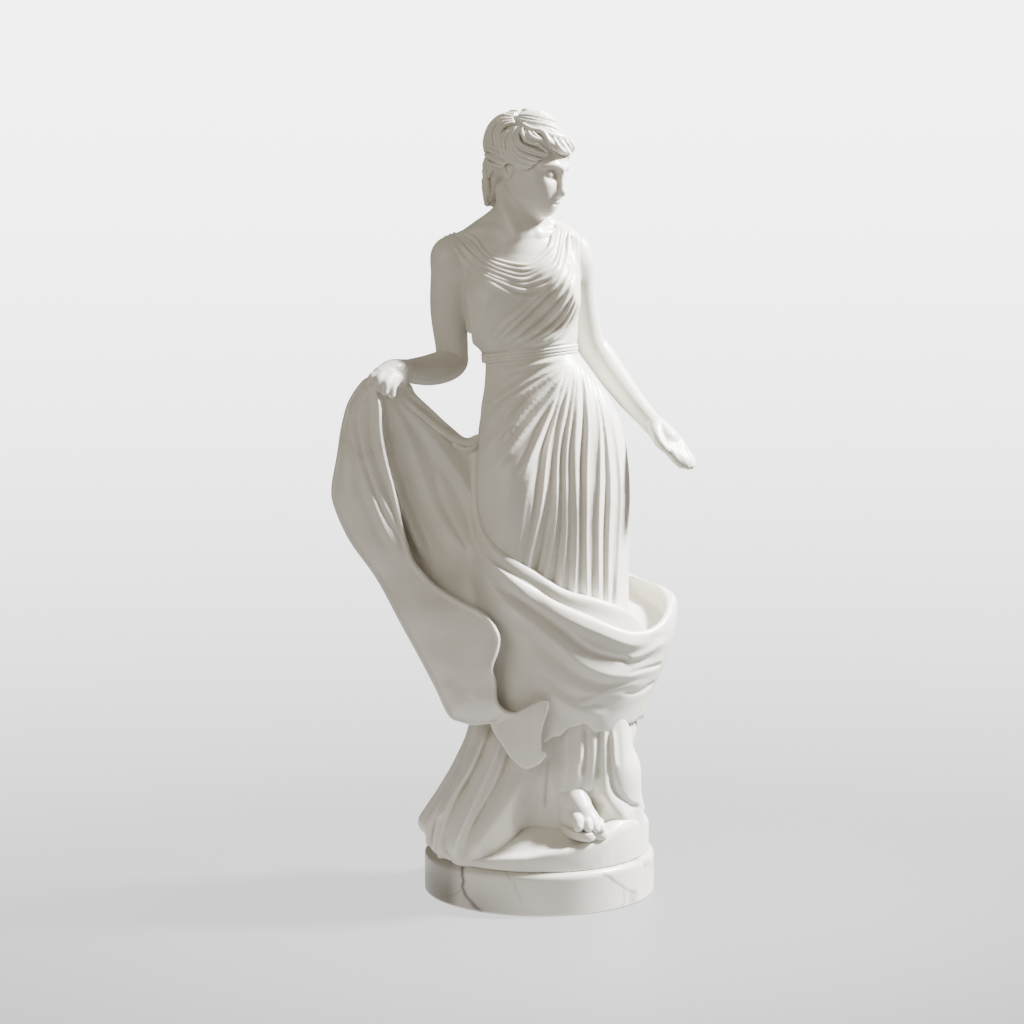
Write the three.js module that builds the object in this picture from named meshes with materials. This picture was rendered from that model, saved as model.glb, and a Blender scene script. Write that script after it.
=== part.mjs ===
// A draped woman in marble, carved in one with her dress, her mantle and the mound under her
// feet, on a round marble plinth of its own.
// Millimetres, +Z up. The figure faces -Y and +X is on the viewer's right.
// The origin is the centre of the plinth's underside.

import * as THREE from 'three';

// Driving dimensions, in millimetres
const FIGURE_HEIGHT = 1595; // underside of the mound to the crown of the head
const PLINTH_DIAMETER = 500;
const PLINTH_THICKNESS = 90;
const PLINTH_TOP_ROUNDING = 14;
const PLINTH_FOOT_BEVEL = 3;
const MOUND_LEDGE = 18; // plinth top left bare around the mound
const MOUND_RIM = 44; // height of the mound's upright edge
const CLOTH_THICKNESS = 17; // free cloth of the mantle
const FOLD_DEPTH = 9; // main folds of the dress and the mantle
const SEAT_GAP = 0.3; // between plinth and mound, so that the two solids stay apart

// How finely the carving is measured, and how many faces the finished solid keeps
const CARVING_CELL = 8;
const CARVING_FACES = 9000;
const PLINTH_SEGMENTS = 56;

// Places on the figure are in thousandths of its height, from the centre of its underside
const SHARE = FIGURE_HEIGHT / 1000;
const MOUND_RADIUS = (PLINTH_DIAMETER / 2 - MOUND_LEDGE) / SHARE;
const RIM = MOUND_RIM / SHARE;
const CLOTH = CLOTH_THICKNESS / SHARE / 2;
const FOLD = FOLD_DEPTH / SHARE;

// Blends of distances

function join(a, b, softness) {
  const near = Math.max(softness - Math.abs(a - b), 0) / softness;
  return Math.min(a, b) - near * near * softness / 4;
}

function common(a, b, softness) {
  return -join(-a, -b, softness);
}

function without(a, b, softness) {
  return -join(-a, b, softness);
}

function ramp(value, from, to) {
  const t = Math.min(Math.max((value - from) / (to - from), 0), 1);
  return t * t * (3 - 2 * t);
}

// Curves through a few chosen values

function throughRows(rows, at, column) {
  let i = 1;
  while (i < rows.length - 1 && at > rows[i][0]) i += 1;
  const [a, b] = [rows[i - 1], rows[i]];
  const [before, after] = [rows[i - 2] ?? a, rows[i + 1] ?? b];
  const span = b[0] - a[0];
  const t = Math.min(Math.max((at - a[0]) / span, 0), 1);
  const leaving = (b[column] - before[column]) / (b[0] - before[0]) * span;
  const arriving = (after[column] - a[column]) / (after[0] - a[0]) * span;
  const rise = b[column] - a[column];
  const squared = 3 * rise - 2 * leaving - arriving;
  const cubed = leaving + arriving - 2 * rise;
  return a[column] + t * (leaving + t * (squared + t * cubed));
}

// Heights given at angles around the body become a closed curve, kept at every degree
function aroundBody(rows) {
  const [first, last] = [rows[0], rows[rows.length - 1]];
  const closed = [[last[0] - 360, last[1]], ...rows, [first[0] + 360, first[1]]];
  const heights = Array.from({ length: 361 }, (_, i) => throughRows(closed, i - 180, 1));
  return (angle) => {
    const place = Math.min(Math.max(angle + 180, 0), 359.999);
    const whole = Math.floor(place);
    return THREE.MathUtils.lerp(heights[whole], heights[whole + 1], place - whole);
  };
}

// A smooth line in the picture plane through [x, z] places
function drawn(places, steps = 5, closed = false) {
  const curve = new THREE.CatmullRomCurve3(
    places.map(([x, z]) => new THREE.Vector3(x, 0, z)), closed, 'centripetal');
  const count = (places.length - (closed ? 0 : 1)) * steps;
  return Array.from({ length: count + 1 }, (_, i) => {
    const point = curve.getPoint(i / count);
    return [point.x, point.z];
  });
}

// Basic forms, each a function that gives the distance to its surface.
// From further away than NEAR, the distance to a box around the form is enough.

const FAR = 40;
const NEAR = 25;

function limb(points, radii, steps = 4) {
  const curve = new THREE.CatmullRomCurve3(points.map((p) => new THREE.Vector3(...p)), false, 'centripetal');
  const radiusRows = radii.map((r, i) => [i / (radii.length - 1), r]);
  const count = (points.length - 1) * steps;
  const beads = Array.from({ length: count + 1 }, (_, i) => {
    const point = curve.getPoint(i / count);
    return [point.x, point.y, point.z, throughRows(radiusRows, i / count, 1)];
  });
  const box = new THREE.Box3();
  beads.forEach(([x, y, z, r]) => {
    box.expandByPoint(new THREE.Vector3(x - r, y - r, z - r));
    box.expandByPoint(new THREE.Vector3(x + r, y + r, z + r));
  });
  const { min, max } = box;
  const flat = new Float64Array(beads.flat());
  return (x, y, z) => {
    const out = Math.max(min.x - x, x - max.x, min.y - y, y - max.y, min.z - z, z - max.z);
    if (out > NEAR) return out;
    let best = Infinity;
    for (let i = 0; i < 4 * count; i += 4) {
      const ux = flat[i + 4] - flat[i];
      const uy = flat[i + 5] - flat[i + 1];
      const uz = flat[i + 6] - flat[i + 2];
      const px = x - flat[i];
      const py = y - flat[i + 1];
      const pz = z - flat[i + 2];
      const t = Math.min(Math.max((px * ux + py * uy + pz * uz) / (ux * ux + uy * uy + uz * uz), 0), 1);
      const dx = px - ux * t;
      const dy = py - uy * t;
      const dz = pz - uz * t;
      const radius = flat[i + 3] + (flat[i + 7] - flat[i + 3]) * t;
      const distance = Math.sqrt(dx * dx + dy * dy + dz * dz) - radius;
      if (distance < best) best = distance;
    }
    return best;
  };
}

function ellipsoid([cx, cy, cz], [rx, ry, rz]) {
  return (x, y, z) => {
    const px = (x - cx) / rx;
    const py = (y - cy) / ry;
    const pz = (z - cz) / rz;
    const reach = Math.sqrt(px * px + py * py + pz * pz);
    const slope = Math.sqrt(px * px / (rx * rx) + py * py / (ry * ry) + pz * pz / (rz * rz));
    return slope > 0 ? reach * (reach - 1) / slope : -Math.min(rx, ry, rz);
  };
}

// An upright form with elliptical sections, from rows of
// [height, centre x, centre y, half width, half depth]
function loft(rows) {
  const [bottom, top] = [rows[0][0], rows[rows.length - 1][0]];
  const height = Math.round(top - bottom);
  const sections = new Float64Array(Array.from({ length: height + 1 }, (_, i) =>
    [1, 2, 3, 4].map((column) => throughRows(rows, bottom + i, column))).flat());
  return (x, y, z) => {
    const place = Math.min(Math.max(z - bottom, 0), height - 0.001);
    const row = 4 * Math.floor(place);
    const t = place - Math.floor(place);
    const at = (column) => sections[row + column] + t * (sections[row + 4 + column] - sections[row + column]);
    const dx = x - at(0);
    const dy = y - at(1);
    const wide = at(2);
    const deep = at(3);
    const reach = Math.sqrt(dx * dx / (wide * wide) + dy * dy / (deep * deep));
    const radius = Math.sqrt(dx * dx + dy * dy);
    const beside = reach > 0 ? radius * (1 - 1 / reach) : -Math.min(wide, deep);
    return common(beside, Math.max(bottom - z, z - top), 6);
  };
}

// A function of the picture plane, kept on a grid and read between its points
const PLANE = { left: -320, right: 240, low: 0, high: 1030, step: 2.5 };
function keptOnPlane(height) {
  const columns = Math.round((PLANE.right - PLANE.left) / PLANE.step) + 1;
  const rows = Math.round((PLANE.high - PLANE.low) / PLANE.step) + 1;
  const kept = new Float64Array(columns * rows);
  for (let j = 0; j < rows; j += 1) {
    for (let i = 0; i < columns; i += 1) {
      kept[i + columns * j] = height(PLANE.left + i * PLANE.step, PLANE.low + j * PLANE.step);
    }
  }
  return (x, z) => {
    const across = Math.min(Math.max((x - PLANE.left) / PLANE.step, 0), columns - 1.001);
    const along = Math.min(Math.max((z - PLANE.low) / PLANE.step, 0), rows - 1.001);
    const i = Math.floor(across);
    const j = Math.floor(along);
    const corner = i + columns * j;
    const low = kept[corner] + (across - i) * (kept[corner + 1] - kept[corner]);
    const above = corner + columns;
    const high = kept[above] + (across - i) * (kept[above + 1] - kept[above]);
    return low + (along - j) * (high - low);
  };
}

// Raised folds along lines in the picture plane: narrow crests with a shallow valley on each side
function foldLines(lines, width, height) {
  const runs = lines.map((line) => {
    const points = drawn(line);
    const xs = points.map((p) => p[0]);
    const zs = points.map((p) => p[1]);
    const reach = width * 3;
    return { points, left: Math.min(...xs) - reach, right: Math.max(...xs) + reach,
      low: Math.min(...zs) - reach, high: Math.max(...zs) + reach };
  });
  return keptOnPlane((x, z) => {
    let [crest, valley] = [0, 0];
    for (const run of runs) {
      if (x < run.left || x > run.right || z < run.low || z > run.high) continue;
      let nearest = Infinity;
      let along = 0;
      for (let i = 0; i < run.points.length - 1; i += 1) {
        const [ax, az] = run.points[i];
        const [ux, uz] = [run.points[i + 1][0] - ax, run.points[i + 1][1] - az];
        const t = Math.min(Math.max(((x - ax) * ux + (z - az) * uz) / (ux * ux + uz * uz), 0), 1);
        const away = Math.hypot(x - ax - ux * t, z - az - uz * t);
        if (away < nearest) {
          nearest = away;
          along = (i + t) / (run.points.length - 1);
        }
      }
      const across = nearest / width;
      const taper = ramp(Math.min(along, 1 - along), -0.05, 0.14);
      crest = Math.max(crest, taper * Math.exp(-across * across));
      valley = Math.max(valley, taper * Math.exp(-((across - 1.9) ** 2)));
    }
    return height * (crest - 0.45 * valley * (1 - crest));
  });
}

// How far inside a closed outline in the picture plane a place lies, negative inside
function outlineDistance(outline) {
  return keptOnPlane((x, z) => {
    let nearest = Infinity;
    let inside = false;
    for (let i = 0; i < outline.length - 1; i += 1) {
      const [ax, az] = outline[i];
      const [bx, bz] = outline[i + 1];
      const [ux, uz] = [bx - ax, bz - az];
      const t = Math.min(Math.max(((x - ax) * ux + (z - az) * uz) / (ux * ux + uz * uz || 1), 0), 1);
      nearest = Math.min(nearest, (x - ax - ux * t) ** 2 + (z - az - uz * t) ** 2);
      if ((az > z) !== (bz > z) && x < ax + ux * (z - az) / uz) inside = !inside;
    }
    return (inside ? -1 : 1) * Math.sqrt(nearest);
  });
}

// A depth that passes smoothly through [x, z, depth] places
function depthField(places, softness = 30) {
  return keptOnPlane((x, z) => {
    let [sum, weights] = [0, 0];
    for (const [px, pz, depth] of places) {
      const weight = 1 / ((x - px) ** 2 + (z - pz) ** 2 + softness * softness) ** 1.5;
      sum += weight * depth;
      weights += weight;
    }
    return sum / weights;
  });
}

// The head turns towards the viewer's right and looks down a little.
// Inside it, places are [towards her left, forward, up] from the head's centre.
const HEAD_CENTRE = [-13, -4, 923];
const HEAD_TURN = THREE.MathUtils.degToRad(58);
const HEAD_BOW = THREE.MathUtils.degToRad(18);

const nape = { centre: [0, -41, -32], radii: [26, 21, 36] }; // the part of the head that reaches furthest out
const headReach = Math.hypot(...nape.centre) + Math.max(...nape.radii);
const headParts = {
  cranium: ellipsoid([0, -8, 16], [44, 56, 50]),
  face: ellipsoid([0, 16, -14], [35, 38, 50]),
  cheeks: ellipsoid([0, 28, -20], [31, 24, 26]),
  chin: ellipsoid([0, 40, -48], [13, 11, 12]),
  jaw: limb([[-31, 4, -32], [-22, 28, -46], [0, 40, -51], [22, 28, -46], [31, 4, -32]], [9, 9, 9, 9, 9]),
  nose: limb([[0, 50, 6], [0, 56, -8], [0, 61, -24]], [4, 4.5, 6]),
  nostrils: limb([[-6, 53, -27], [0, 56, -26], [6, 53, -27]], [4, 4.5, 4]),
  brow: limb([[-30, 36, 9], [-14, 49, 12], [0, 51, 9], [14, 49, 12], [30, 36, 9]], [4, 5, 4, 5, 4]),
  lips: limb([[-11, 47, -40], [0, 52, -39], [11, 47, -40]], [2.5, 5, 2.5]),
  hair: ellipsoid([0, -12, 20], [52, 61, 53]),
  frontRoll: limb([[-45, -4, -6], [-43, 20, 16], [-26, 41, 34], [0, 49, 41], [26, 41, 34], [43, 20, 16],
    [45, -4, -6]], [9, 10, 10, 11, 10, 10, 9]),
  nape: ellipsoid(nape.centre, nape.radii),
  knot: limb([[-26, -24, 58], [0, -24, 66], [26, -24, 58]], [7, 8, 7]),
  ears: limb([[-43, -4, -12], [43, -4, -12]], [9, 9]),
};
const eyes = [-1, 1].map((side) => ({
  socket: ellipsoid([side * 17, 53, 0], [13, 9, 8]),
  ball: ellipsoid([side * 17, 37, -1], [11, 11, 9]),
}));

function head(x, y, z) {
  const dx = x - HEAD_CENTRE[0];
  const dy = y - HEAD_CENTRE[1];
  const dz = z - HEAD_CENTRE[2];
  const out = Math.sqrt(dx * dx + dy * dy + dz * dz) - headReach;
  if (out > NEAR) return out;
  const left = Math.cos(HEAD_TURN) * dx + Math.sin(HEAD_TURN) * dy;
  const level = Math.sin(HEAD_TURN) * dx - Math.cos(HEAD_TURN) * dy;
  const forward = Math.cos(HEAD_BOW) * level - Math.sin(HEAD_BOW) * dz;
  const up = Math.sin(HEAD_BOW) * level + Math.cos(HEAD_BOW) * dz;
  const at = (part) => part(left, forward, up);

  let form = join(at(headParts.cranium), at(headParts.face), 12);
  form = join(form, at(headParts.cheeks), 10);
  form = join(form, at(headParts.jaw), 8);
  form = join(form, at(headParts.chin), 8);
  form = join(form, at(headParts.brow), 6);
  for (const eye of eyes) {
    form = join(without(form, at(eye.socket), 6), at(eye.ball), 2);
  }
  form = join(form, at(headParts.nose), 5);
  form = join(form, at(headParts.nostrils), 3);
  form = join(form, at(headParts.lips), 3);
  form = join(form, at(headParts.ears), 4);

  const hairline = 0.74 * forward - 0.67 * up - 12;
  let hair = common(at(headParts.hair), hairline, 6);
  hair = join(hair, at(headParts.frontRoll), 5);
  hair = join(hair, at(headParts.nape), 9);
  hair = join(hair, at(headParts.knot), 4);
  const sweep = Math.atan2(up - 6, -forward) * 2.2 + Math.abs(left) * 0.11;
  const locks = Math.cos(sweep * 4.2 + 0.9 * Math.sin(left * 0.12));
  return join(form, hair - 1.9 * locks, 3);
}

// Neck, shoulders and arms
const neck = limb([[-34, 10, 808], [-30, 6, 842], [-24, 6, 880], [-17, 6, 905]], [42, 36, 31, 31]);
const collarSlopes = limb([[-116, 8, 802], [-90, 12, 824], [-58, 14, 846], [-24, 16, 850], [14, 22, 838],
  [47, 24, 814]], [24, 21, 22, 24, 19, 21]);
const rightArm = limb([[-119, 8, 802], [-123, 26, 735], [-119, 44, 676], [-122, 42, 659], [-147, 0, 651],
  [-182, -58, 651]], [27, 26, 23, 23, 22, 15]);
const rightHand = [
  limb([[-180, -56, 653], [-196, -70, 652], [-212, -84, 646]], [14, 16, 11]),
  limb([[-206, -70, 656], [-222, -86, 645], [-227, -92, 634]], [8, 7, 6]),
  limb([[-192, -78, 650], [-204, -98, 636], [-206, -96, 622]], [8, 7, 6]),
  limb([[-184, -74, 646], [-194, -94, 630], [-197, -92, 616]], [7, 6.5, 6]),
  limb([[-204, -62, 646], [-220, -78, 636], [-226, -86, 632]], [9, 7, 6]),
];
const leftArm = limb([[51, 24, 796], [56, 50, 745], [68, 72, 692], [84, 76, 667], [117, 45, 620],
  [150, 12, 580]], [22, 22, 21, 21, 18, 14]);
const leftHand = [
  limb([[150, 14, 582], [164, 2, 568], [176, -8, 554]], [13, 15, 14]),
  limb([[166, 8, 566], [182, 2, 553], [190, -2, 543]], [13, 13, 9]),
  limb([[166, -12, 556], [173, -26, 538], [178, -30, 526]], [7, 6, 5]),
  limb([[176, -10, 550], [185, -22, 534], [190, -27, 522]], [7, 6, 5]),
  limb([[184, -4, 548], [194, -14, 532], [199, -18, 522]], [7, 6, 5]),
  limb([[190, 2, 546], [199, -6, 534], [202, -10, 526]], [6.5, 5.5, 5]),
  limb([[156, -2, 574], [156, -20, 560], [161, -30, 550]], [8, 7, 5.5]),
];

// Bodice, with the cowl of folds at the neck and the belt under it
const bodice = loft([
  [655, -14, 4, 62, 50], [674, -15, 4, 64, 51], [692, -24, 4, 73, 57], [717, -26, 3, 76, 58],
  [748, -26, 2, 78, 56], [785, -27, 5, 80, 52], [808, -29, 8, 76, 42], [826, -30, 10, 62, 32],
]);
const breasts = [
  ellipsoid([-63, -34, 744], [34, 28, 34]),
  ellipsoid([22, -28, 750], [32, 31, 34]),
];
const belt = loft([[661, -14, 4, 64, 52], [672, -14, 4, 66, 54], [685, -14, 4, 64, 52]]);
const cowl = limb([[-116, -8, 820], [-86, -34, 796], [-54, -46, 779], [-18, -50, 772], [16, -42, 782],
  [34, -18, 808], [42, 2, 830]], [8, 11, 14, 15, 14, 11, 9]);
const cowlFolds = foldLines([
  [[-118, 832], [-79, 809], [-53, 798], [-20, 790], [13, 809], [20, 835]],
  [[-124, 825], [-90, 799], [-58, 781], [-18, 775], [21, 792], [35, 834]],
  [[-124, 816], [-98, 789], [-66, 766], [-18, 758], [21, 770], [38, 800]],
], 5, FOLD * 0.6);
const bodiceFolds = foldLines([
  [[-66, 679], [-31, 718], [2, 747], [30, 764]],
  [[-34, 676], [0, 699], [28, 728], [46, 746]],
], 8, FOLD * 0.7);

// The skirt of the dress down to the mound, over the forward thigh
const skirt = loft([
  [8, 0, 8, 134, 102], [45, 2, 6, 136, 100], [85, 2, 4, 127, 98], [119, 7, 2, 118, 96],
  [170, 22, 0, 112, 92], [240, 24, 0, 100, 90], [320, 24, 0, 98, 90], [400, 23, 0, 99, 90],
  [480, 22, 0, 101, 88], [523, 20, 2, 101, 84], [563, 16, 4, 99, 79], [603, 12, 5, 89, 70],
  [650, -2, 5, 72, 57], [677, -13, 4, 62, 51], [690, -14, 4, 60, 48],
]);
const thigh = limb([[-20, -12, 590], [-28, -40, 510], [-32, -52, 430], [-36, -56, 350]], [52, 55, 48, 42]);
const skirtFolds = foldLines([
  [[36, 659], [-7, 628], [-46, 596], [-75, 568]],
  [[38, 656], [10, 614], [-27, 568], [-66, 522]],
  [[36, 651], [19, 601], [-1, 549], [-10, 483]],
  [[42, 651], [30, 607], [17, 555], [10, 470], [-10, 400]],
  [[48, 651], [41, 601], [34, 536], [34, 443], [20, 364]],
  [[55, 650], [58, 595], [56, 536], [56, 443], [52, 356]],
  [[62, 646], [78, 601], [82, 536], [77, 443], [79, 351]],
  [[72, 633], [92, 578], [103, 500], [99, 427], [97, 351]],
], 7, FOLD);

// The mantle wraps the legs: an upper edge that dips in front and a hem that waves
const MANTLE_AXIS = [20, 0];
const mantleMass = loft([
  [120, 24, -4, 112, 104], [165, 27, -4, 114, 108], [210, 32, -5, 122, 114], [260, 38, -4, 136, 118],
  [305, 42, -3, 142, 118], [350, 42, -3, 135, 112], [400, 28, -2, 118, 104], [470, 18, 0, 106, 98],
  [560, 10, 4, 100, 92], [600, 8, 4, 92, 84],
]);
const mantleTop = aroundBody([
  [-150, 512], [-120, 546], [-95, 556], [-72, 534], [-58, 465], [-42, 427], [-17, 393], [6, 367], [33, 353],
  [61, 338], [88, 348], [110, 386], [135, 412], [165, 456],
]);
const mantleHem = aroundBody([
  [-150, 170], [-115, 158], [-80, 176], [-50, 184], [-32, 142], [-15, 136], [4, 172], [15, 190],
  [30, 178], [52, 186], [68, 188], [84, 176], [108, 156], [130, 164], [152, 150], [176, 166],
]);
const pocket = ellipsoid([150, 8, 356], [23, 50, 50]);
const mantleFolds = foldLines([
  [[-88, 470], [-66, 408], [-20, 372], [20, 349], [76, 327], [122, 310], [150, 312]],
  [[-70, 380], [-24, 340], [24, 306], [67, 282], [130, 268]],
  [[-20, 280], [20, 262], [62, 236], [120, 226]],
], 10, FOLD);

// The side of the mantle that her hand lifts, and the border that turns over in front of it
const SAIL_OUTER = [
  [-226, 644], [-249, 617], [-261, 583], [-268, 541], [-275, 499], [-272, 474], [-253, 430],
  [-217, 378], [-169, 296], [-141, 239], [-122, 195], [-96, 183], [-65, 181],
];
const SAIL_INNER = [
  [-20, 170], [0, 250], [-10, 330], [-20, 400], [-40, 480], [-60, 552], [-81, 566],
  [-99, 561], [-119, 577], [-144, 601], [-165, 622], [-172, 635], [-200, 642],
];
const BORDER_EDGE = [
  [-26, 176], [-6, 190], [10, 212], [10, 228], [-12, 222], [-35, 208], [-48, 211], [-57, 238],
  [-63, 266], [-53, 310], [-71, 338], [-107, 355], [-149, 382], [-168, 409], [-176, 440],
  [-186, 485], [-199, 530], [-207, 575], [-209, 619],
];
const sailOutline = outlineDistance(drawn([...SAIL_OUTER, ...SAIL_INNER], 3, true));
const borderOutline = outlineDistance(drawn([...SAIL_OUTER, ...BORDER_EDGE], 3, true));
const sailDepth = depthField([
  [-222, 632, -84], [-175, 630, -58], [-140, 590, -40], [-95, 560, -18], [-70, 540, -10], [-272, 480, -70],
  [-210, 540, -62], [-160, 520, -40], [-110, 470, -42], [-230, 410, -70], [-170, 400, -58], [-110, 380, -64],
  [-60, 380, -84], [-180, 310, -78], [-120, 290, -80], [-50, 290, -98], [-130, 215, -86], [-70, 210, -98],
  [-20, 220, -110],
]);
const BORDER_LIFT = 30;
const sailFolds = foldLines([
  [[-225, 630], [-245, 592], [-240, 545], [-226, 500], [-200, 443], [-170, 400]],
  [[-219, 632], [-228, 590], [-220, 525], [-207, 480], [-180, 430]],
  [[-190, 614], [-144, 562], [-105, 500], [-70, 430]],
  [[-150, 590], [-120, 562], [-95, 545], [-80, 548]],
], 8, FOLD * 0.9);

const sailSurface = keptOnPlane((x, z) => sailDepth(x, z) - sailFolds(x, z));
const borderSurface = keptOnPlane((x, z) => {
  const inside = Math.max(-sailOutline(x, z), 0);
  const ripple = 5 * Math.cos(z * 0.075) * ramp(z, 420, 330);
  return sailSurface(x, z) - BORDER_LIFT * (1 - Math.exp(-inside / 22)) - ripple * ramp(inside, 0, 50);
});

function sheet(x, y, z, outline, depth) {
  const beyond = outline(x, z);
  if (beyond > NEAR) return beyond;
  const slopeX = (depth(x + 2, z) - depth(x - 2, z)) / 4;
  const slopeZ = (depth(x, z + 2) - depth(x, z - 2)) / 4;
  const through = Math.abs(y - depth(x, z)) / Math.sqrt(1 + slopeX * slopeX + slopeZ * slopeZ) - CLOTH;
  return common(through, beyond, 4);
}

function liftedMantle(x, y, z) {
  const out = Math.max(x - 15, z - 650, 165 - z);
  if (out > NEAR) return out;
  const sail = sheet(x, y, z, sailOutline, sailSurface);
  return join(sail, sheet(x, y, z, borderOutline, borderSurface), 4);
}

// Under the hem: the trailing fold, the flare at the viewer's left, small upright folds and the foot
const trailingFold = limb([[-30, -54, 215], [-34, -74, 150], [-42, -92, 100], [-55, -103, 64],
  [-70, -109, 34], [-84, -110, 18]], [28, 28, 28, 26, 22, 19]);
const flare = limb([[-66, 20, 210], [-80, 14, 150], [-100, 8, 108], [-122, 2, 72], [-146, 0, 38]],
  [24, 18, 17, 18, 20]);
const flareFront = limb([[-52, -28, 205], [-72, -42, 130], [-96, -56, 76], [-112, -60, 34]],
  [30, 28, 26, 23]);
const sideFold = limb([[98, -46, 200], [102, -54, 140], [108, -56, 100], [116, -50, 50]], [22, 26, 30, 24]);
const uprightFolds = [[62, 80], [78, 84], [93, 100]].map(([top, foot]) =>
  limb([[top, -90, 205], [top - 2, -97, 150], [foot, -98, 100], [foot + 6, -104, 62]], [8, 7.5, 7, 6]));
const kneeCloth = limb([[46, -76, 210], [47, -86, 165], [44, -90, 130], [40, -90, 104]], [26, 25, 24, 22]);
const footHollow = ellipsoid([4, -136, 66], [36, 44, 64]);
const foot = [
  limb([[38, -70, 118], [42, -86, 98], [50, -102, 80], [57, -112, 70]], [24, 23, 19, 15]),
  limb([[46, -88, 62], [60, -110, 58], [66, -117, 56]], [18, 18, 15]),
];
const toes = [0, 1, 2, 3].map((i) =>
  limb(
    [[47 + 10.5 * i, -115, 66 - 2 * i], [50 + 10.5 * i, -129, 58 - 2 * i]],
    [8.5 - i * 0.8, 7.5 - i * 0.8]));
const sole = limb([[42, -88, 46], [56, -112, 44], [64, -126, 43]], [18, 19, 15]);
const strap = limb([[28, -98, 72], [40, -114, 84], [58, -120, 82], [80, -110, 68]], [5, 5, 5, 5]);
const moundTop = ellipsoid([6, -18, 14], [126, 116, 42]);
const moundSide = ellipsoid([90, -56, 14], [66, 66, 52]);
const MOUND_TILT = { slope: 0.16, most: 14 };

function mound(x, y, z) {
  const beside = Math.sqrt(x * x + y * y) - MOUND_RADIUS;
  const tilt = Math.min(Math.max(MOUND_TILT.slope * x, -MOUND_TILT.most), MOUND_TILT.most);
  const top = join(join(z - RIM - tilt, moundTop(x, y, z), 14), moundSide(x, y, z), 18);
  return common(beside, top, 7);
}

function clothedLegs(x, y, z) {
  if (z - 700 > NEAR) return z - 700;
  const facing = ramp(-y, 0, 45);
  const behind = ramp(y, 5, 50);
  const [angle, belowKnee] = [Math.atan2(x - MANTLE_AXIS[0], -y), ramp(z, 230, 150)];
  const backFolds = Math.cos(angle * 13 + z * 0.006) + 0.6 * Math.cos(angle * 21 - z * 0.01 + 1);
  let form = join(skirt(x, y, z), thigh(x, y, z), 18);
  form -= facing * skirtFolds(x, z) + behind * FOLD * 0.55 * backFolds * ramp(z, 650, 520);
  if (z < 280) {
    form = join(form, flare(x, y, z), 16);
    form = join(form, trailingFold(x, y, z), 12);
    form = join(form, flareFront(x, y, z), 14);
    form = join(form, sideFold(x, y, z), 12);
    form = without(form, footHollow(x, y, z), 10);
    form = join(form, kneeCloth(x, y, z), 10);
    for (const fold of uprightFolds) form = join(form, fold(x, y, z), 9);
    form -= belowKnee * 1.6 * Math.cos(angle * 23);
  }
  return form;
}

function wrappedMantle(x, y, z) {
  if (z - 575 > NEAR) return z - 575;
  const angle = Math.atan2(x - MANTLE_AXIS[0], -y + MANTLE_AXIS[1]);
  const degrees = THREE.MathUtils.radToDeg(angle);
  const behind = ramp(y, 5, 50);
  let form = mantleMass(x, y, z) - ramp(-y, 0, 45) * mantleFolds(x, z);
  const droop = Math.cos(angle * 5 + z * 0.03) + 0.5 * Math.cos(angle * 11 - z * 0.014);
  form -= behind * FOLD * 0.8 * droop;
  form = common(form, (z - mantleTop(degrees)) * 0.7, 9);
  form = without(form, pocket(x, y, z), 7);
  const wave = 2.5 * Math.cos(angle * 19);
  return common(form, (mantleHem(degrees) - z) * 0.8 + wave, 5);
}

function bust(x, y, z) {
  if (650 - z > NEAR) return 650 - z;
  let form = join(bodice(x, y, z), breasts[0](x, y, z), 16);
  form = join(form, breasts[1](x, y, z), 14);
  form -= ramp(-y, 5, 40) * bodiceFolds(x, z);
  form = join(form, belt(x, y, z - 0.12 * (x + 14)), 4);
  form = join(form, collarSlopes(x, y, z), 18);
  form = join(form, neck(x, y, z), 16);
  return join(form, cowl(x, y, z) - ramp(-y, -10, 25) * cowlFolds(x, z), 8);
}

function standing(x, y, z) {
  let form = join(mound(x, y, z), clothedLegs(x, y, z), 7);
  form = join(form, wrappedMantle(x, y, z), 3);
  form = join(form, liftedMantle(x, y, z), 8);
  if (z < 240) {
    for (const part of [...foot, sole]) form = join(form, part(x, y, z), 4);
    for (const part of [...toes, strap]) form = join(form, part(x, y, z), 2);
  }
  if (z > 560) {
    form = join(form, bust(x, y, z), 8);
    form = join(form, head(x, y, z), 5);
  }
  form = join(form, rightArm(x, y, z), 7);
  form = join(form, leftArm(x, y, z), 5);
  for (const part of rightHand) form = join(form, part(x, y, z), 4);
  for (const part of leftHand) form = join(form, part(x, y, z), 4);
  return common(form, -z, 2);
}

// The carved surface: one point in each cell that it crosses, drawn onto it, four to a face
const REGION = { min: [-300, -185, -15], max: [230, 165, 1020] };
const BLOCK = 8;

const CORNER_PLACES = [
  [0, 0, 0], [1, 0, 0], [1, 1, 0], [0, 1, 0], [0, 0, 1], [1, 0, 1], [1, 1, 1], [0, 1, 1]];
const CORNER_PAIRS = [
  [0, 1], [1, 2], [2, 3], [3, 0], [4, 5], [5, 6], [6, 7], [7, 4], [0, 4], [1, 5], [2, 6], [3, 7]];
const CELL_SIDES = [[0, 1, 2, 3], [4, 5, 6, 7], [0, 1, 5, 4], [1, 2, 6, 5], [2, 3, 7, 6], [3, 0, 4, 7]];

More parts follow.
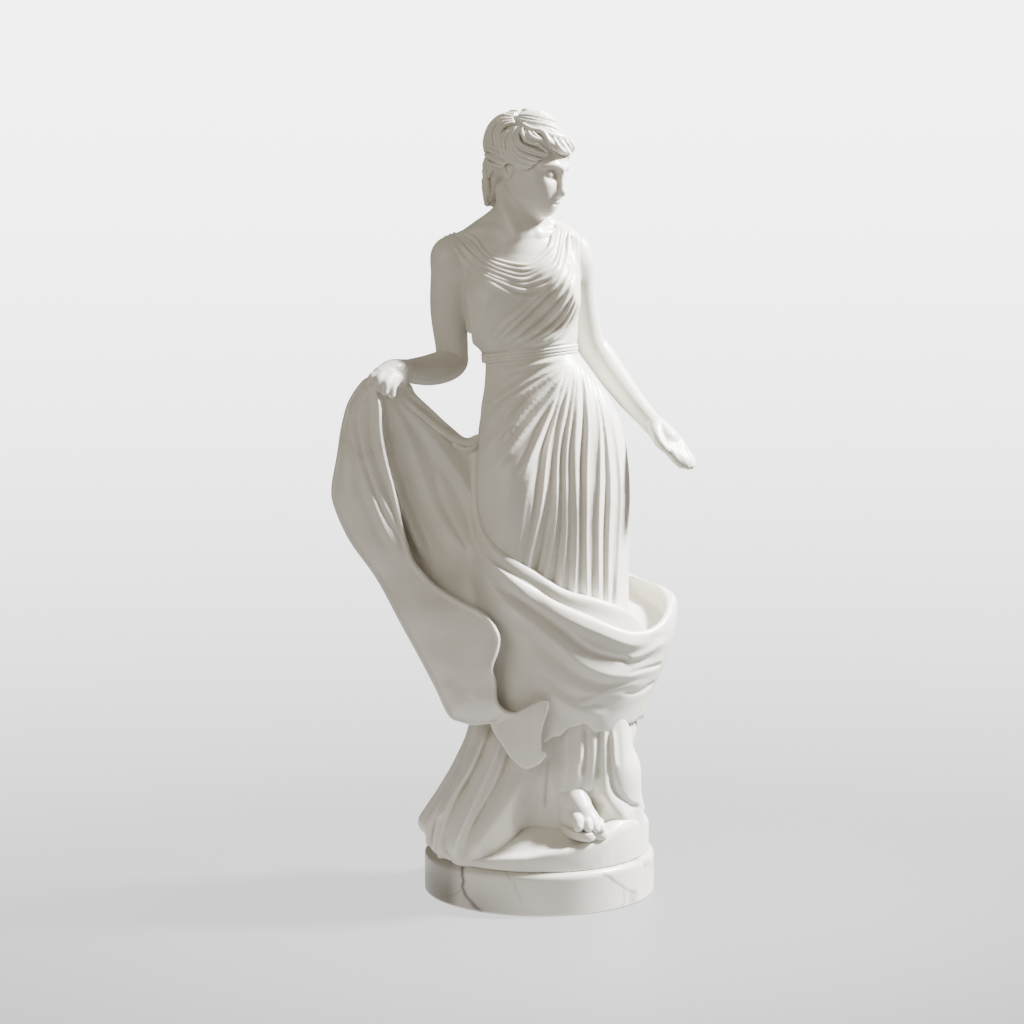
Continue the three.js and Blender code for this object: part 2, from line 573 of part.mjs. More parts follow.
function measure(form, cell) {
  const size = [0, 1, 2].map((axis) =>
    Math.ceil((REGION.max[axis] - REGION.min[axis]) / cell / BLOCK) * BLOCK + 1);
  const values = new Float32Array(size[0] * size[1] * size[2]).fill(FAR);
  const reach = cell * BLOCK * Math.sqrt(3) * 0.8;
  const place = (axis, i) => REGION.min[axis] + i * cell;
  for (let k = 0; k < size[2] - 1; k += BLOCK) {
    for (let j = 0; j < size[1] - 1; j += BLOCK) {
      for (let i = 0; i < size[0] - 1; i += BLOCK) {
        const half = BLOCK / 2;
        const middle = form(place(0, i + half), place(1, j + half), place(2, k + half));
        const empty = Math.abs(middle) > reach;
        for (let c = k; c <= k + BLOCK; c += 1) {
          for (let b = j; b <= j + BLOCK; b += 1) {
            for (let a = i; a <= i + BLOCK; a += 1) {
              const index = a + size[0] * (b + size[1] * c);
              if (values[index] !== FAR) continue;
              if (!empty) values[index] = form(place(0, a), place(1, b), place(2, c));
              else if (middle < 0) values[index] = -FAR + 1;
            }
          }
        }
      }
    }
  }
  return { size, values, place };
}

function gradient(form, [x, y, z], step) {
  return [
    form(x + step, y, z) - form(x - step, y, z),
    form(x, y + step, z) - form(x, y - step, z),
    form(x, y, z + step) - form(x, y, z - step),
  ].map((rise) => rise / (2 * step));
}

function surfaceOf(form, cell) {
  const { size, values, place } = measure(form, cell);
  const corners = CORNER_PLACES.map(([a, b, c]) => a + size[0] * (b + size[1] * c));
  const points = [];
  const pointOfEdge = new Map();
  for (let k = 0; k < size[2] - 1; k += 1) {
    for (let j = 0; j < size[1] - 1; j += 1) {
      for (let i = 0; i < size[0] - 1; i += 1) {
        const base = i + size[0] * (j + size[1] * k);
        const inside = corners.map((offset) => values[base + offset] < 0);
        if (inside.every((is) => is === inside[0])) continue;
        // Crossed edges of the cell that belong to one patch of surface share one point
        const patch = CORNER_PAIRS.map((_, e) => e);
        const rootOf = (e) => (patch[e] === e ? e : rootOf(patch[e]));
        const edgeBetween = (a, b) => CORNER_PAIRS.findIndex((pair) => pair.includes(a) && pair.includes(b));
        for (const side of CELL_SIDES) {
          const crossed = side.filter((corner, n) => inside[corner] !== inside[side[(n + 1) % 4]]);
          if (crossed.length === 2) {
            const [first, second] = crossed.map((corner) =>
              edgeBetween(corner, side[(side.indexOf(corner) + 1) % 4]));
            patch[rootOf(first)] = rootOf(second);
          } else if (crossed.length === 4) {
            side.forEach((corner, n) => {
              if (!inside[corner]) return;
              const next = edgeBetween(corner, side[(n + 1) % 4]);
              const last = edgeBetween(side[(n + 3) % 4], corner);
              patch[rootOf(next)] = rootOf(last);
            });
          }
        }
        const sums = new Map();
        CORNER_PAIRS.forEach(([a, b], e) => {
          if (inside[a] === inside[b]) return;
          const [va, vb] = [values[base + corners[a]], values[base + corners[b]]];
          const t = va / (va - vb);
          const root = rootOf(e);
          if (!sums.has(root)) sums.set(root, [0, 0, 0, 0, points.length + sums.size]);
          const sum = sums.get(root);
          for (let axis = 0; axis < 3; axis += 1) {
            sum[axis] += THREE.MathUtils.lerp(CORNER_PLACES[a][axis], CORNER_PLACES[b][axis], t);
          }
          sum[3] += 1;
          const low = base + Math.min(corners[a], corners[b]);
          const direction = [1, size[0], size[0] * size[1]].indexOf(Math.abs(corners[a] - corners[b]));
          const key = low * 3 + direction;
          if (!pointOfEdge.has(key)) pointOfEdge.set(key, []);
          pointOfEdge.get(key).push([e, sum[4]]);
        });
        for (const [sx, sy, sz, n] of sums.values()) {
          points.push([place(0, i + sx / n), place(1, j + sy / n), place(2, k + sz / n)]);
        }
      }
    }
  }
  for (const point of points) {
    for (let pass = 0; pass < 2; pass += 1) {
      const slope = gradient(form, point, 1);
      const steep = Math.max(slope[0] ** 2 + slope[1] ** 2 + slope[2] ** 2, 0.2);
      const value = THREE.MathUtils.clamp(form(...point) / steep, -cell * 0.4, cell * 0.4);
      slope.forEach((rise, axis) => { point[axis] -= rise * value * 0.9; });
      point[2] = Math.max(point[2], 0);
    }
  }
  // The four cells around an edge, in turning order, for edges along x, y and z
  const turns = [[0, 2, 6, 4], [3, 1, 5, 7], [8, 9, 10, 11]];
  const faces = [];
  for (const [key, around] of pointOfEdge) {
    const direction = key % 3;
    const low = (key - direction) / 3;
    const corner = turns[direction].map((e) => around.find(([edge]) => edge === e)[1]);
    if (values[low] < 0) corner.reverse();
    if (direction === 1) corner.reverse();
    faces.push([corner[2], corner[1], corner[0]], [corner[3], corner[2], corner[0]]);
  }
  return { points, faces };
}

// Keeps the largest connected surface
function largestSurface({ points, faces }) {
  const group = points.map((_, i) => i);
  const rootOf = (i) => {
    while (group[i] !== i) {
      group[i] = group[group[i]];
      i = group[i];
    }
    return i;
  };
  faces.forEach(([a, b, c]) => {
    group[rootOf(a)] = rootOf(b);
    group[rootOf(b)] = rootOf(c);
  });
  const tally = new Map();
  faces.forEach(([a]) => tally.set(rootOf(a), (tally.get(rootOf(a)) ?? 0) + 1));
  const [largest] = [...tally].reduce((best, entry) => (entry[1] > best[1] ? entry : best), [0, 0]);
  return { points, faces: faces.filter(([a]) => rootOf(a) === largest) };
}

// Merges the least needed edges until few enough faces are left
function simplify({ points, faces }, target) {
  const quadrics = points.map(() => new Float64Array(10));
  const facesOf = points.map(() => new Set());
  const normalOf = (a, b, c) => {
    const [ux, uy, uz] = [b[0] - a[0], b[1] - a[1], b[2] - a[2]];
    const [vx, vy, vz] = [c[0] - a[0], c[1] - a[1], c[2] - a[2]];
    return [uy * vz - uz * vy, uz * vx - ux * vz, ux * vy - uy * vx];
  };
  const addPlane = (q, [a, b, c], d, weight) => {
    const terms = [a * a, a * b, a * c, a * d, b * b, b * c, b * d, c * c, c * d, d * d];
    terms.forEach((term, i) => {
      q[i] += term * weight;
    });
  };
  faces.forEach((face, index) => {
    const [a, b, c] = face.map((i) => points[i]);
    const normal = normalOf(a, b, c);
    const size = Math.hypot(...normal) || 1e-9;
    const unit = normal.map((v) => v / size);
    const offset = -(unit[0] * a[0] + unit[1] * a[1] + unit[2] * a[2]);
    face.forEach((i) => {
      addPlane(quadrics[i], unit, offset, size);
      facesOf[i].add(index);
    });
  });
  // A little pull towards each point's own place keeps flat areas even
  const pull = 0.024;
  const axes = [[1, 0, 0], [0, 1, 0], [0, 0, 1]];
  points.forEach((point, i) => {
    axes.forEach((axis, n) => addPlane(quadrics[i], axis, -point[n], pull));
  });
  const errorAt = (q, [x, y, z]) => q[0] * x * x + q[4] * y * y + q[7] * z * z + q[9]
    + 2 * (q[1] * x * y + q[2] * x * z + q[5] * y * z + q[3] * x + q[6] * y + q[8] * z);
  const bestPlace = (q, a, b) => {
    const middle = a.map((v, i) => (v + b[i]) / 2);
    const choices = [a, b, middle];
    const matrix = new THREE.Matrix3(q[0], q[1], q[2], q[1], q[4], q[5], q[2], q[5], q[7]);
    if (Math.abs(matrix.determinant()) > 1e-9) {
      const best = new THREE.Vector3(-q[3], -q[6], -q[8]).applyMatrix3(matrix.invert()).toArray();
      const away = Math.hypot(best[0] - middle[0], best[1] - middle[1], best[2] - middle[2]);
      if (away < 2 * Math.hypot(a[0] - b[0], a[1] - b[1], a[2] - b[2])) choices.push(best);
    }
    const grounded = a[2] === 0 && b[2] === 0;
    if (grounded) choices.forEach((choice) => { choice[2] = 0; });
    return choices.map((choice) => [errorAt(q, choice), choice])
      .reduce((least, option) => (option[0] < least[0] ? option : least));
  };
  const stamp = new Int32Array(points.length);
  const heap = [];
  const swap = (i, j) => { [heap[i], heap[j]] = [heap[j], heap[i]]; };
  const push = (item) => {
    let i = heap.push(item) - 1;
    while (i > 0 && heap[(i - 1) >> 1].cost > heap[i].cost) {
      swap(i, (i - 1) >> 1);
      i = (i - 1) >> 1;
    }
  };
  const pop = () => {
    const top = heap[0];
    const last = heap.pop();
    if (heap.length > 0) {
      heap[0] = last;
      for (let i = 0; ;) {
        let least = i;
        if (2 * i + 1 < heap.length && heap[2 * i + 1].cost < heap[least].cost) least = 2 * i + 1;
        if (2 * i + 2 < heap.length && heap[2 * i + 2].cost < heap[least].cost) least = 2 * i + 2;
        if (least === i) break;
        swap(i, least);
        i = least;
      }
    }
    return top;
  };
  const offer = (a, b) => {
    const q = quadrics[a].map((v, i) => v + quadrics[b][i]);
    const [cost, place] = bestPlace(q, points[a], points[b]);
    push({ a, b, cost, place, stamps: stamp[a] + stamp[b] * 1e6, q });
  };
  const neighbours = (i) => {
    const found = new Set();
    facesOf[i].forEach((f) => faces[f].forEach((j) => { if (j !== i) found.add(j); }));
    return found;
  };
  faces.forEach(([a, b, c]) => {
    if (a < b) offer(a, b);
    if (b < c) offer(b, c);
    if (c < a) offer(c, a);
  });
  let left = faces.length;
  while (left > target && heap.length > 0) {
    const { a, b, place, stamps, q } = pop();
    if (stamps !== stamp[a] + stamp[b] * 1e6 || facesOf[a].size === 0 || facesOf[b].size === 0) continue;
    const around = neighbours(b);
    const shared = [...neighbours(a)].filter((i) => around.has(i));
    if (shared.length !== 2) continue;
    const turnsOver = (end, other) => [...facesOf[end]].some((f) => {
      if (faces[f].includes(other)) return false;
      const before = normalOf(...faces[f].map((i) => points[i]));
      const after = normalOf(...faces[f].map((i) => (i === end ? place : points[i])));
      const sizes = Math.hypot(...before) * Math.hypot(...after);
      const corners = faces[f].map((i) => (i === end ? place : points[i]));
      const longest = Math.max(...corners.map((p, n) => {
        const [px, py, pz] = corners[(n + 1) % 3];
        return (p[0] - px) ** 2 + (p[1] - py) ** 2 + (p[2] - pz) ** 2;
      }));
      const agree = before[0] * after[0] + before[1] * after[1] + before[2] * after[2];
      return agree < 0.3 * sizes || Math.hypot(...after) < 0.06 * longest;
    });
    if (turnsOver(a, b) || turnsOver(b, a)) continue;
    points[a] = place;
    quadrics[a] = q;
    for (const f of [...facesOf[b]]) {
      if (faces[f].includes(a)) {
        faces[f].forEach((i) => facesOf[i].delete(f));
        faces[f] = null;
        left -= 1;
      } else {
        faces[f] = faces[f].map((i) => (i === b ? a : i));
        facesOf[a].add(f);
      }
    }
    facesOf[b].clear();
    stamp[a] += 1;
    stamp[b] += 1;
    neighbours(a).forEach((i) => offer(a, i));
  }
  return { points, faces: faces.filter((face) => face !== null) };
}

function geometryOf({ points, faces }) {
  const geometry = new THREE.BufferGeometry();
  const numbers = new Map();
  const positions = [];
  const indices = faces.flat().map((i) => {
    if (!numbers.has(i)) {
      numbers.set(i, numbers.size);
      positions.push(...points[i].map((v) => v * SHARE));
    }
    return numbers.get(i);
  });
  geometry.setAttribute('position', new THREE.Float32BufferAttribute(positions, 3));
  geometry.setIndex(indices);
  geometry.computeVertexNormals();
  return geometry;
}

function statue() {
  const surface = largestSurface(surfaceOf(standing, CARVING_CELL / SHARE));
  const geometry = geometryOf(simplify(surface, CARVING_FACES));
  const marble = new THREE.MeshStandardMaterial({ color: 0xe9e7e1, roughness: 0.32, metalness: 0 });
  const mesh = new THREE.Mesh(geometry, marble);
  mesh.name = 'statue';
  mesh.position.z = PLINTH_THICKNESS + SEAT_GAP;
  return mesh;
}

function plinth() {
  const radius = PLINTH_DIAMETER / 2;
  const outline = new THREE.Path();
  outline.moveTo(0, 0);
  outline.lineTo(radius - PLINTH_FOOT_BEVEL, 0);
  outline.lineTo(radius, PLINTH_FOOT_BEVEL);
  outline.lineTo(radius, PLINTH_THICKNESS - PLINTH_TOP_ROUNDING);
  outline.absarc(radius - PLINTH_TOP_ROUNDING, PLINTH_THICKNESS - PLINTH_TOP_ROUNDING, PLINTH_TOP_ROUNDING,
    0, Math.PI / 2, false);
  outline.lineTo(0, PLINTH_THICKNESS);
  const geometry = new THREE.LatheGeometry(outline.getPoints(2), PLINTH_SEGMENTS);
  geometry.rotateX(Math.PI / 2);
  const marble = new THREE.MeshStandardMaterial({ color: 0xe4ded4, roughness: 0.28, metalness: 0 });
  const mesh = new THREE.Mesh(geometry, marble);
  mesh.name = 'plinth';
  return mesh;
}

const sculpture = new THREE.Group();
sculpture.add(statue(), plinth());

export default sculpture;
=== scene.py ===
# A draped woman in polished white marble on a round veined plinth, as she looks in a plain studio.
# The frame gives the figure's height and the plinth's sizes. The carving is worked out in
# thousandths of the figure's height from the middle of its underside: x to the viewer's right,
# y away from the viewer, z up.

import math

import bpy
import numpy as np
import openvdb
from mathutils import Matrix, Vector


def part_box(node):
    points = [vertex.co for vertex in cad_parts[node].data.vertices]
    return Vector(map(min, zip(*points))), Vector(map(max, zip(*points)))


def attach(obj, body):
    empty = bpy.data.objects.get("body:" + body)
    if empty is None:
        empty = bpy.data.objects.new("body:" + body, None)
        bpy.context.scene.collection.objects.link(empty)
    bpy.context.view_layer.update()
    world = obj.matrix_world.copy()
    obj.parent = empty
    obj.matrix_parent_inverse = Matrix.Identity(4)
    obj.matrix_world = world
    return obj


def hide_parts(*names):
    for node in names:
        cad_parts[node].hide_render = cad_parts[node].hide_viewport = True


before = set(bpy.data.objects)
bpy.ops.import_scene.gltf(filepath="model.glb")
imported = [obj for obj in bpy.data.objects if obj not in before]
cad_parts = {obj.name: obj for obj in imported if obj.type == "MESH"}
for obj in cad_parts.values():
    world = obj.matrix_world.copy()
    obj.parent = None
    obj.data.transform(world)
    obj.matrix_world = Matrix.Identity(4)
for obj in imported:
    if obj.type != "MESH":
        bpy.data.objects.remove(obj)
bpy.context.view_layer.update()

CROWN = 1003.6  # top of the hair, in thousandths
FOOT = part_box("statue")[0].z
SHARE = (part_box("statue")[1].z - FOOT) / CROWN
PLINTH_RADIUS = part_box("plinth")[1].x
PLINTH_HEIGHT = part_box("plinth")[1].z
MOUND_RADIUS = PLINTH_RADIUS * 0.955 / SHARE
RIM = 27.6  # height of the mound's upright edge
DRAFT = 1.0

# Blends of distances


def join(a, b, softness):
    near = np.maximum(softness - np.abs(a - b), 0) / softness
    return np.minimum(a, b) - near * near * softness / 4


def common(a, b, softness):
    return -join(-a, -b, softness)


def without(a, b, softness):
    return -join(-a, b, softness)


def ramp(value, start, end):
    t = np.clip((value - start) / (end - start), 0, 1)
    return t * t * (3 - 2 * t)


def grown(form, p, *added):
    """Distances of a form with more parts joined to it one after another, each as (part, softness)."""
    for part, softness in added:
        form = join(form, part(p), softness)
    return form


def joined(parts, softness):
    def form(p):
        whole = parts[0](p)
        for part in parts[1:]:
            whole = join(whole, part(p), softness)
        return whole
    return form


# Curves through chosen places


def through(rows, steps=4, closed=False):
    rows = np.array(rows, float)
    count = len(rows)
    ends = (rows[-1:], rows[:2]) if closed else (2 * rows[:1] - rows[1:2], 2 * rows[-1:] - rows[-2:-1])
    held = np.concatenate([ends[0], rows, ends[1]])
    spans = count if closed else count - 1
    t = np.arange(steps)[:, None] / steps
    curve = [0.5 * (2 * b + (c - a) * t + (2 * a - 5 * b + 4 * c - d) * t ** 2
                    + (3 * b - a - 3 * c + d) * t ** 3)
             for a, b, c, d in zip(held[:spans], held[1:spans + 1], held[2:spans + 2], held[3:spans + 3])]
    last = rows[:1] if closed else rows[-1:]
    return np.concatenate(curve + [last])


def height_at(rows, at):
    rows = through(rows, 8)
    return np.interp(at, rows[:, 0], rows[:, 1])


def around_body(rows):
    rows = sorted(rows)
    closed = [(rows[-1][0] - 360, rows[-1][1])] + rows + [(rows[0][0] + 360, rows[0][1])]
    curve = through(closed, 8)
    return lambda degrees: np.interp(degrees, curve[:, 0], curve[:, 1])


# Basic forms: each takes places as rows of x, y, z and gives the distance to its surface.
# Further away than NEAR, the distance to a box around the form is enough.

NEAR = 20.0


def boxed(low, high, inner):
    low, high = np.array(low, np.float32), np.array(high, np.float32)

    def form(p):
        out = np.maximum(low - p, p - high).max(axis=1)
        near = out < NEAR
        if near.any():
            out[near] = inner(p[near])
        return out
    return form


def limb(points, radii, steps=4):
    path = through([tuple(p) + (r,) for p, r in zip(points, radii)], steps).astype(np.float32)

    def inner(p):
        best = np.full(len(p), 1e6, np.float32)
        for a, b in zip(path[:-1], path[1:]):
            axis = b[:3] - a[:3]
            away = p - a[:3]
            t = np.clip(away @ axis / max(axis @ axis, 1e-6), 0, 1)
            away -= t[:, None] * axis
            distance = np.sqrt(np.einsum("ij,ij->i", away, away)) - (a[3] + t * (b[3] - a[3]))
            np.minimum(best, distance, out=best)
        return best
    reach = path[:, 3:]
    return boxed((path[:, :3] - reach).min(0), (path[:, :3] + reach).max(0), inner)


def ellipsoid(centre, radii):
    centre, radii = np.array(centre, np.float32), np.array(radii, np.float32)

    def inner(p):
        scaled = (p - centre) / radii
        reach = np.sqrt(np.einsum("ij,ij->i", scaled, scaled))
        steep = scaled / radii
        slope = np.sqrt(np.einsum("ij,ij->i", steep, steep))
        return np.where(slope > 1e-6, reach * (reach - 1) / np.maximum(slope, 1e-6), -radii.min())
    return boxed(centre - radii, centre + radii, inner)


def loft(rows):
    curve = through(rows, 12)
    low, high = curve[0, 0], curve[-1, 0]

    def form(p):
        z = p[:, 2]
        cx, cy, wide, deep = (np.interp(z, curve[:, 0], curve[:, i]).astype(np.float32) for i in (1, 2, 3, 4))
        dx, dy = p[:, 0] - cx, p[:, 1] - cy
        reach = np.sqrt((dx / wide) ** 2 + (dy / deep) ** 2)
        radius = np.sqrt(dx * dx + dy * dy)
        beside = np.where(reach > 0.05, radius * (1 - 1 / np.maximum(reach, 0.05)), -np.minimum(wide, deep))
        return common(beside, np.maximum(low - z, z - high), 6)
    return form


# Charts: heights kept on a grid over the picture plane and read between its points

LEFT, BOTTOM, RIGHT, TOP, STEP = -320.0, -10.0, 250.0, 1030.0, 1.25
CHART_X = np.arange(LEFT, RIGHT, STEP)
CHART_Z = np.arange(BOTTOM, TOP, STEP)
PLANE_X, PLANE_Z = np.meshgrid(CHART_X, CHART_Z)


def chart(values):
    values = values.astype(np.float32)

    def read(x, z):
        across = np.clip((x - LEFT) / STEP, 0, values.shape[1] - 1.01)
        along = np.clip((z - BOTTOM) / STEP, 0, values.shape[0] - 1.01)
        i, j = across.astype(np.int32), along.astype(np.int32)
        u, v = across - i, along - j
        low = values[j, i] * (1 - u) + values[j, i + 1] * u
        high = values[j + 1, i] * (1 - u) + values[j + 1, i + 1] * u
        return low * (1 - v) + high * v
    return read


def line_reach(path, x, z):
    """Distance from places to a line, and how far along it the nearest point is, from 0 to 1."""
    best = np.full(x.shape, 1e6)
    along = np.zeros(x.shape)
    for n, ((ax, az), (bx, bz)) in enumerate(zip(path[:-1], path[1:])):
        ux, uz = bx - ax, bz - az
        t = np.clip(((x - ax) * ux + (z - az) * uz) / max(ux * ux + uz * uz, 1e-6), 0, 1)
        away = np.hypot(x - ax - ux * t, z - az - uz * t)
        closer = away < best
        best[closer] = away[closer]
        along[closer] = (n + t[closer]) / (len(path) - 1)
    return best, along


def folds(strokes):
    """Strokes of (places, width, height): rounded ridges, or grooves where the height is below 0."""
    crest, groove = np.zeros(PLANE_X.shape), np.zeros(PLANE_X.shape)
    for places, width, height in strokes:
        path = through(places, 6)
        reach = 3.2 * width
        i0, i1 = np.searchsorted(CHART_X, [path[:, 0].min() - reach, path[:, 0].max() + reach])
        j0, j1 = np.searchsorted(CHART_Z, [path[:, 1].min() - reach, path[:, 1].max() + reach])
        window = (slice(j0, j1), slice(i0, i1))
        away, along = line_reach(path, PLANE_X[window], PLANE_Z[window])
        taper = ramp(np.minimum(along, 1 - along), -0.03, 0.2)
        across = away / width
        if height > 0:
            rise = height * taper * np.exp(-across ** 1.6)
            dip = 0.32 * height * taper * np.exp(-(across - 1.9) ** 2)
            crest[window] = np.maximum(crest[window], rise)
            groove[window] = np.maximum(groove[window], dip * (1 - np.exp(-across ** 2)))
        else:
            groove[window] = np.maximum(groove[window], -height * taper * np.exp(-across ** 2))
    return crest - groove * np.exp(-crest / 3)


def pleats(lines, depths):
    """Pleats side by side: each line is a crest, with a sharp valley halfway to the next."""
    crossing = np.array([np.interp(CHART_Z, *np.array(sorted((z, x) for x, z in through(line, 6))).T)
                         for line in lines])
    order = np.arange(len(lines))
    relief = np.zeros(PLANE_X.shape)
    for j, places in enumerate(crossing.T):
        places = np.maximum.accumulate(places + order * 0.01)
        spacing = np.gradient(places)
        number = np.interp(CHART_X, places, order)
        depth = np.minimum(np.interp(CHART_X, places, depths), 0.42 * np.interp(CHART_X, places, spacing))
        valley, crest = np.abs(np.cos(math.pi * number)), np.abs(np.sin(math.pi * number))
        relief[j] = depth * (0.6 * valley ** 0.6 + 0.5 * (1 - crest ** 0.9) - 0.6)
        outside = np.maximum(places[0] - CHART_X, CHART_X - places[-1])
        relief[j] *= 1 - ramp(outside, 0, 12)
    return relief


def outline_reach(outline):
    """How far outside a closed outline each place of the picture plane is, negative inside."""
    coarse = 2
    x, z = PLANE_X[::coarse, ::coarse], PLANE_Z[::coarse, ::coarse]
    nearest, _ = line_reach(outline, x, z)
    inside = np.zeros(x.shape, bool)
    for (ax, az), (bx, bz) in zip(outline[:-1], outline[1:]):
        if az != bz:
            inside ^= ((az > z) != (bz > z)) & (x < ax + (bx - ax) * (z - az) / (bz - az))
    signed = np.where(inside, -nearest, nearest)
    columns = np.array([np.interp(CHART_X, x[0], row) for row in signed])
    return np.array([np.interp(CHART_Z, z[:, 0], column) for column in columns.T]).T


def depth_field(places, softness=30):
    total = weights = 0
    for px, pz, depth in places:
        weight = 1 / ((PLANE_X - px) ** 2 + (PLANE_Z - pz) ** 2 + softness ** 2) ** 1.5
        total = total + weight * depth
        weights = weights + weight
    return total / weights


def facing_depth(form, places, sunk=0.0, side=-1):
    """Places [x, z] become points on the front (side -1) or back (side 1) of a form."""
    tried = side * np.arange(170.0, -60.0, -1.0)
    points = []
    for x, z in places:
        column = np.stack([np.full(len(tried), x), tried, np.full(len(tried), z)], 1).astype(np.float32)
        met = form(column) < 0
        y = tried[met.argmax()] if met.any() else 12.0
        points.append((x, y - side * sunk, z))
    return points


# Carving: a form becomes a mesh of even cells, then the faces that flat places don't need go

FAR = 9.0  # distances are kept up to this
BATCH = 200000  # places worked out at a time
FILL_BATCH = 2000000  # cells inside the form filled at a time


def measured(form, low, high, cell):
    low = np.array(low, float)
    blocks = np.ceil((np.array(high) - low) / cell / 8).astype(int)
    size = 8
    found = np.stack(np.meshgrid(*[np.arange(n) for n in blocks], indexing="ij"), -1).reshape(-1, 3)
    values = np.full(blocks * 8, FAR, np.float32)
    octants = np.array([(i, j, k) for i in (0, 1) for j in (0, 1) for k in (0, 1)])
    while True:
        centres = (low + (found + (0.5 - 0.5 / size)) * size * cell).astype(np.float32)
        batches = np.array_split(centres, len(centres) // BATCH + 1)
        distance = np.concatenate([form(batch) for batch in batches])
        if size == 1:
            values[tuple(found.T)] = np.clip(distance, -FAR, FAR)
            return values
        near = np.abs(distance) < size * cell * 1.25 + 1.5 * cell
        solid = found[~near & (distance < 0)]
        if len(solid):
            offsets = np.stack(np.meshgrid(*[np.arange(size)] * 3, indexing="ij"), -1).reshape(-1, 3)
            for part in np.array_split(solid, len(solid) * size ** 3 // FILL_BATCH + 1):
                filled = (part[:, None] * size + offsets).reshape(-1, 3)
                values[tuple(filled.T)] = -FAR
        found = (found[near][:, None] * 2 + octants).reshape(-1, 3)
        size //= 2


def largest_part(points, faces):
    group = np.arange(len(points))
    pairs = np.concatenate([faces[:, :2], faces[:, 1:]])
    while True:
        lowest = np.minimum(group[pairs[:, 0]], group[pairs[:, 1]])
        before = group.copy()
        np.minimum.at(group, pairs[:, 0], lowest)
        np.minimum.at(group, pairs[:, 1], lowest)
        group = group[group]
        group = group[group]
        if (group == before).all():
            break
    names, sizes = np.unique(group[faces[:, 0]], return_counts=True)
    return faces[group[faces[:, 0]] == names[sizes.argmax()]]


def shown(name, data):
    """A new object in the scene."""
    made = bpy.data.objects.new(name, data)
    bpy.context.scene.collection.objects.link(made)
    return made


def carved(name, form, low, high, cell, most, place=None):
    """A piece of the statue with at most so many triangles, carved between two corners."""
    cell *= DRAFT
    values = measured(form, low, high, cell)
    grid = openvdb.FloatGrid(FAR)
    grid.copyFromArray(values)
    points, triangles, quads = grid.convertToPolygons(0.0)
    points = points * cell + np.array(low)
    faces = np.concatenate([triangles, quads[:, [0, 1, 2]], quads[:, [2, 3, 0]]]).astype(np.int64)
    if place:
        points = place(points)
    points = points * SHARE + np.array((0, 0, FOOT))
    corners = points[faces]
    volume = np.einsum("ij,ij->i", corners[:, 0], np.cross(corners[:, 1], corners[:, 2])).sum()
    if volume < 0:
        faces = faces[:, ::-1]
    faces = largest_part(points, faces)
    used, faces = np.unique(faces, return_inverse=True)
    faces = faces.reshape(-1, 3)
    points = points[used]
    mesh = bpy.data.meshes.new(name)
    mesh.vertices.add(len(points))
    mesh.vertices.foreach_set("co", points.astype(np.float32).ravel())
    mesh.loops.add(faces.size)
    mesh.loops.foreach_set("vertex_index", faces.astype(np.int32).ravel())
    mesh.polygons.add(len(faces))
    mesh.polygons.foreach_set("loop_start", np.arange(0, faces.size, 3, dtype=np.int32))
    mesh.update(calc_edges=True)
    piece = shown(name, mesh)
    if len(faces) > most:
        thin = piece.modifiers.new("thin", "DECIMATE")
        thin.ratio = most / len(faces)
        thinned = piece.evaluated_get(bpy.context.evaluated_depsgraph_get())
        piece.data = bpy.data.meshes.new_from_object(thinned)
        piece.modifiers.clear()
    piece.data.polygons.foreach_set("use_smooth", np.ones(len(piece.data.polygons), bool))
    return piece


# The head turns towards the viewer's right and looks down a little.
# Inside it, places are [towards her left, forward, up] from the head's centre.

HEAD_CENTRE = np.array((-13.0, -4.0, 923.0))
HEAD_TURN = math.radians(58)
HEAD_BOW = math.radians(18)
TURN_SIN, TURN_COS = math.sin(HEAD_TURN), math.cos(HEAD_TURN)
BOW_SIN, BOW_COS = math.sin(HEAD_BOW), math.cos(HEAD_BOW)
HEAD_AXES = np.array((
    (TURN_COS, TURN_SIN, 0),
    (BOW_COS * TURN_SIN, -BOW_COS * TURN_COS, -BOW_SIN),
    (BOW_SIN * TURN_SIN, -BOW_SIN * TURN_COS, BOW_COS),
))


def into_head(p):
    return ((p - HEAD_CENTRE) @ HEAD_AXES.T).astype(np.float32)


def out_of_head(points):
    return points @ HEAD_AXES + HEAD_CENTRE


def both_sides(make):
    return [make(-1), make(1)]


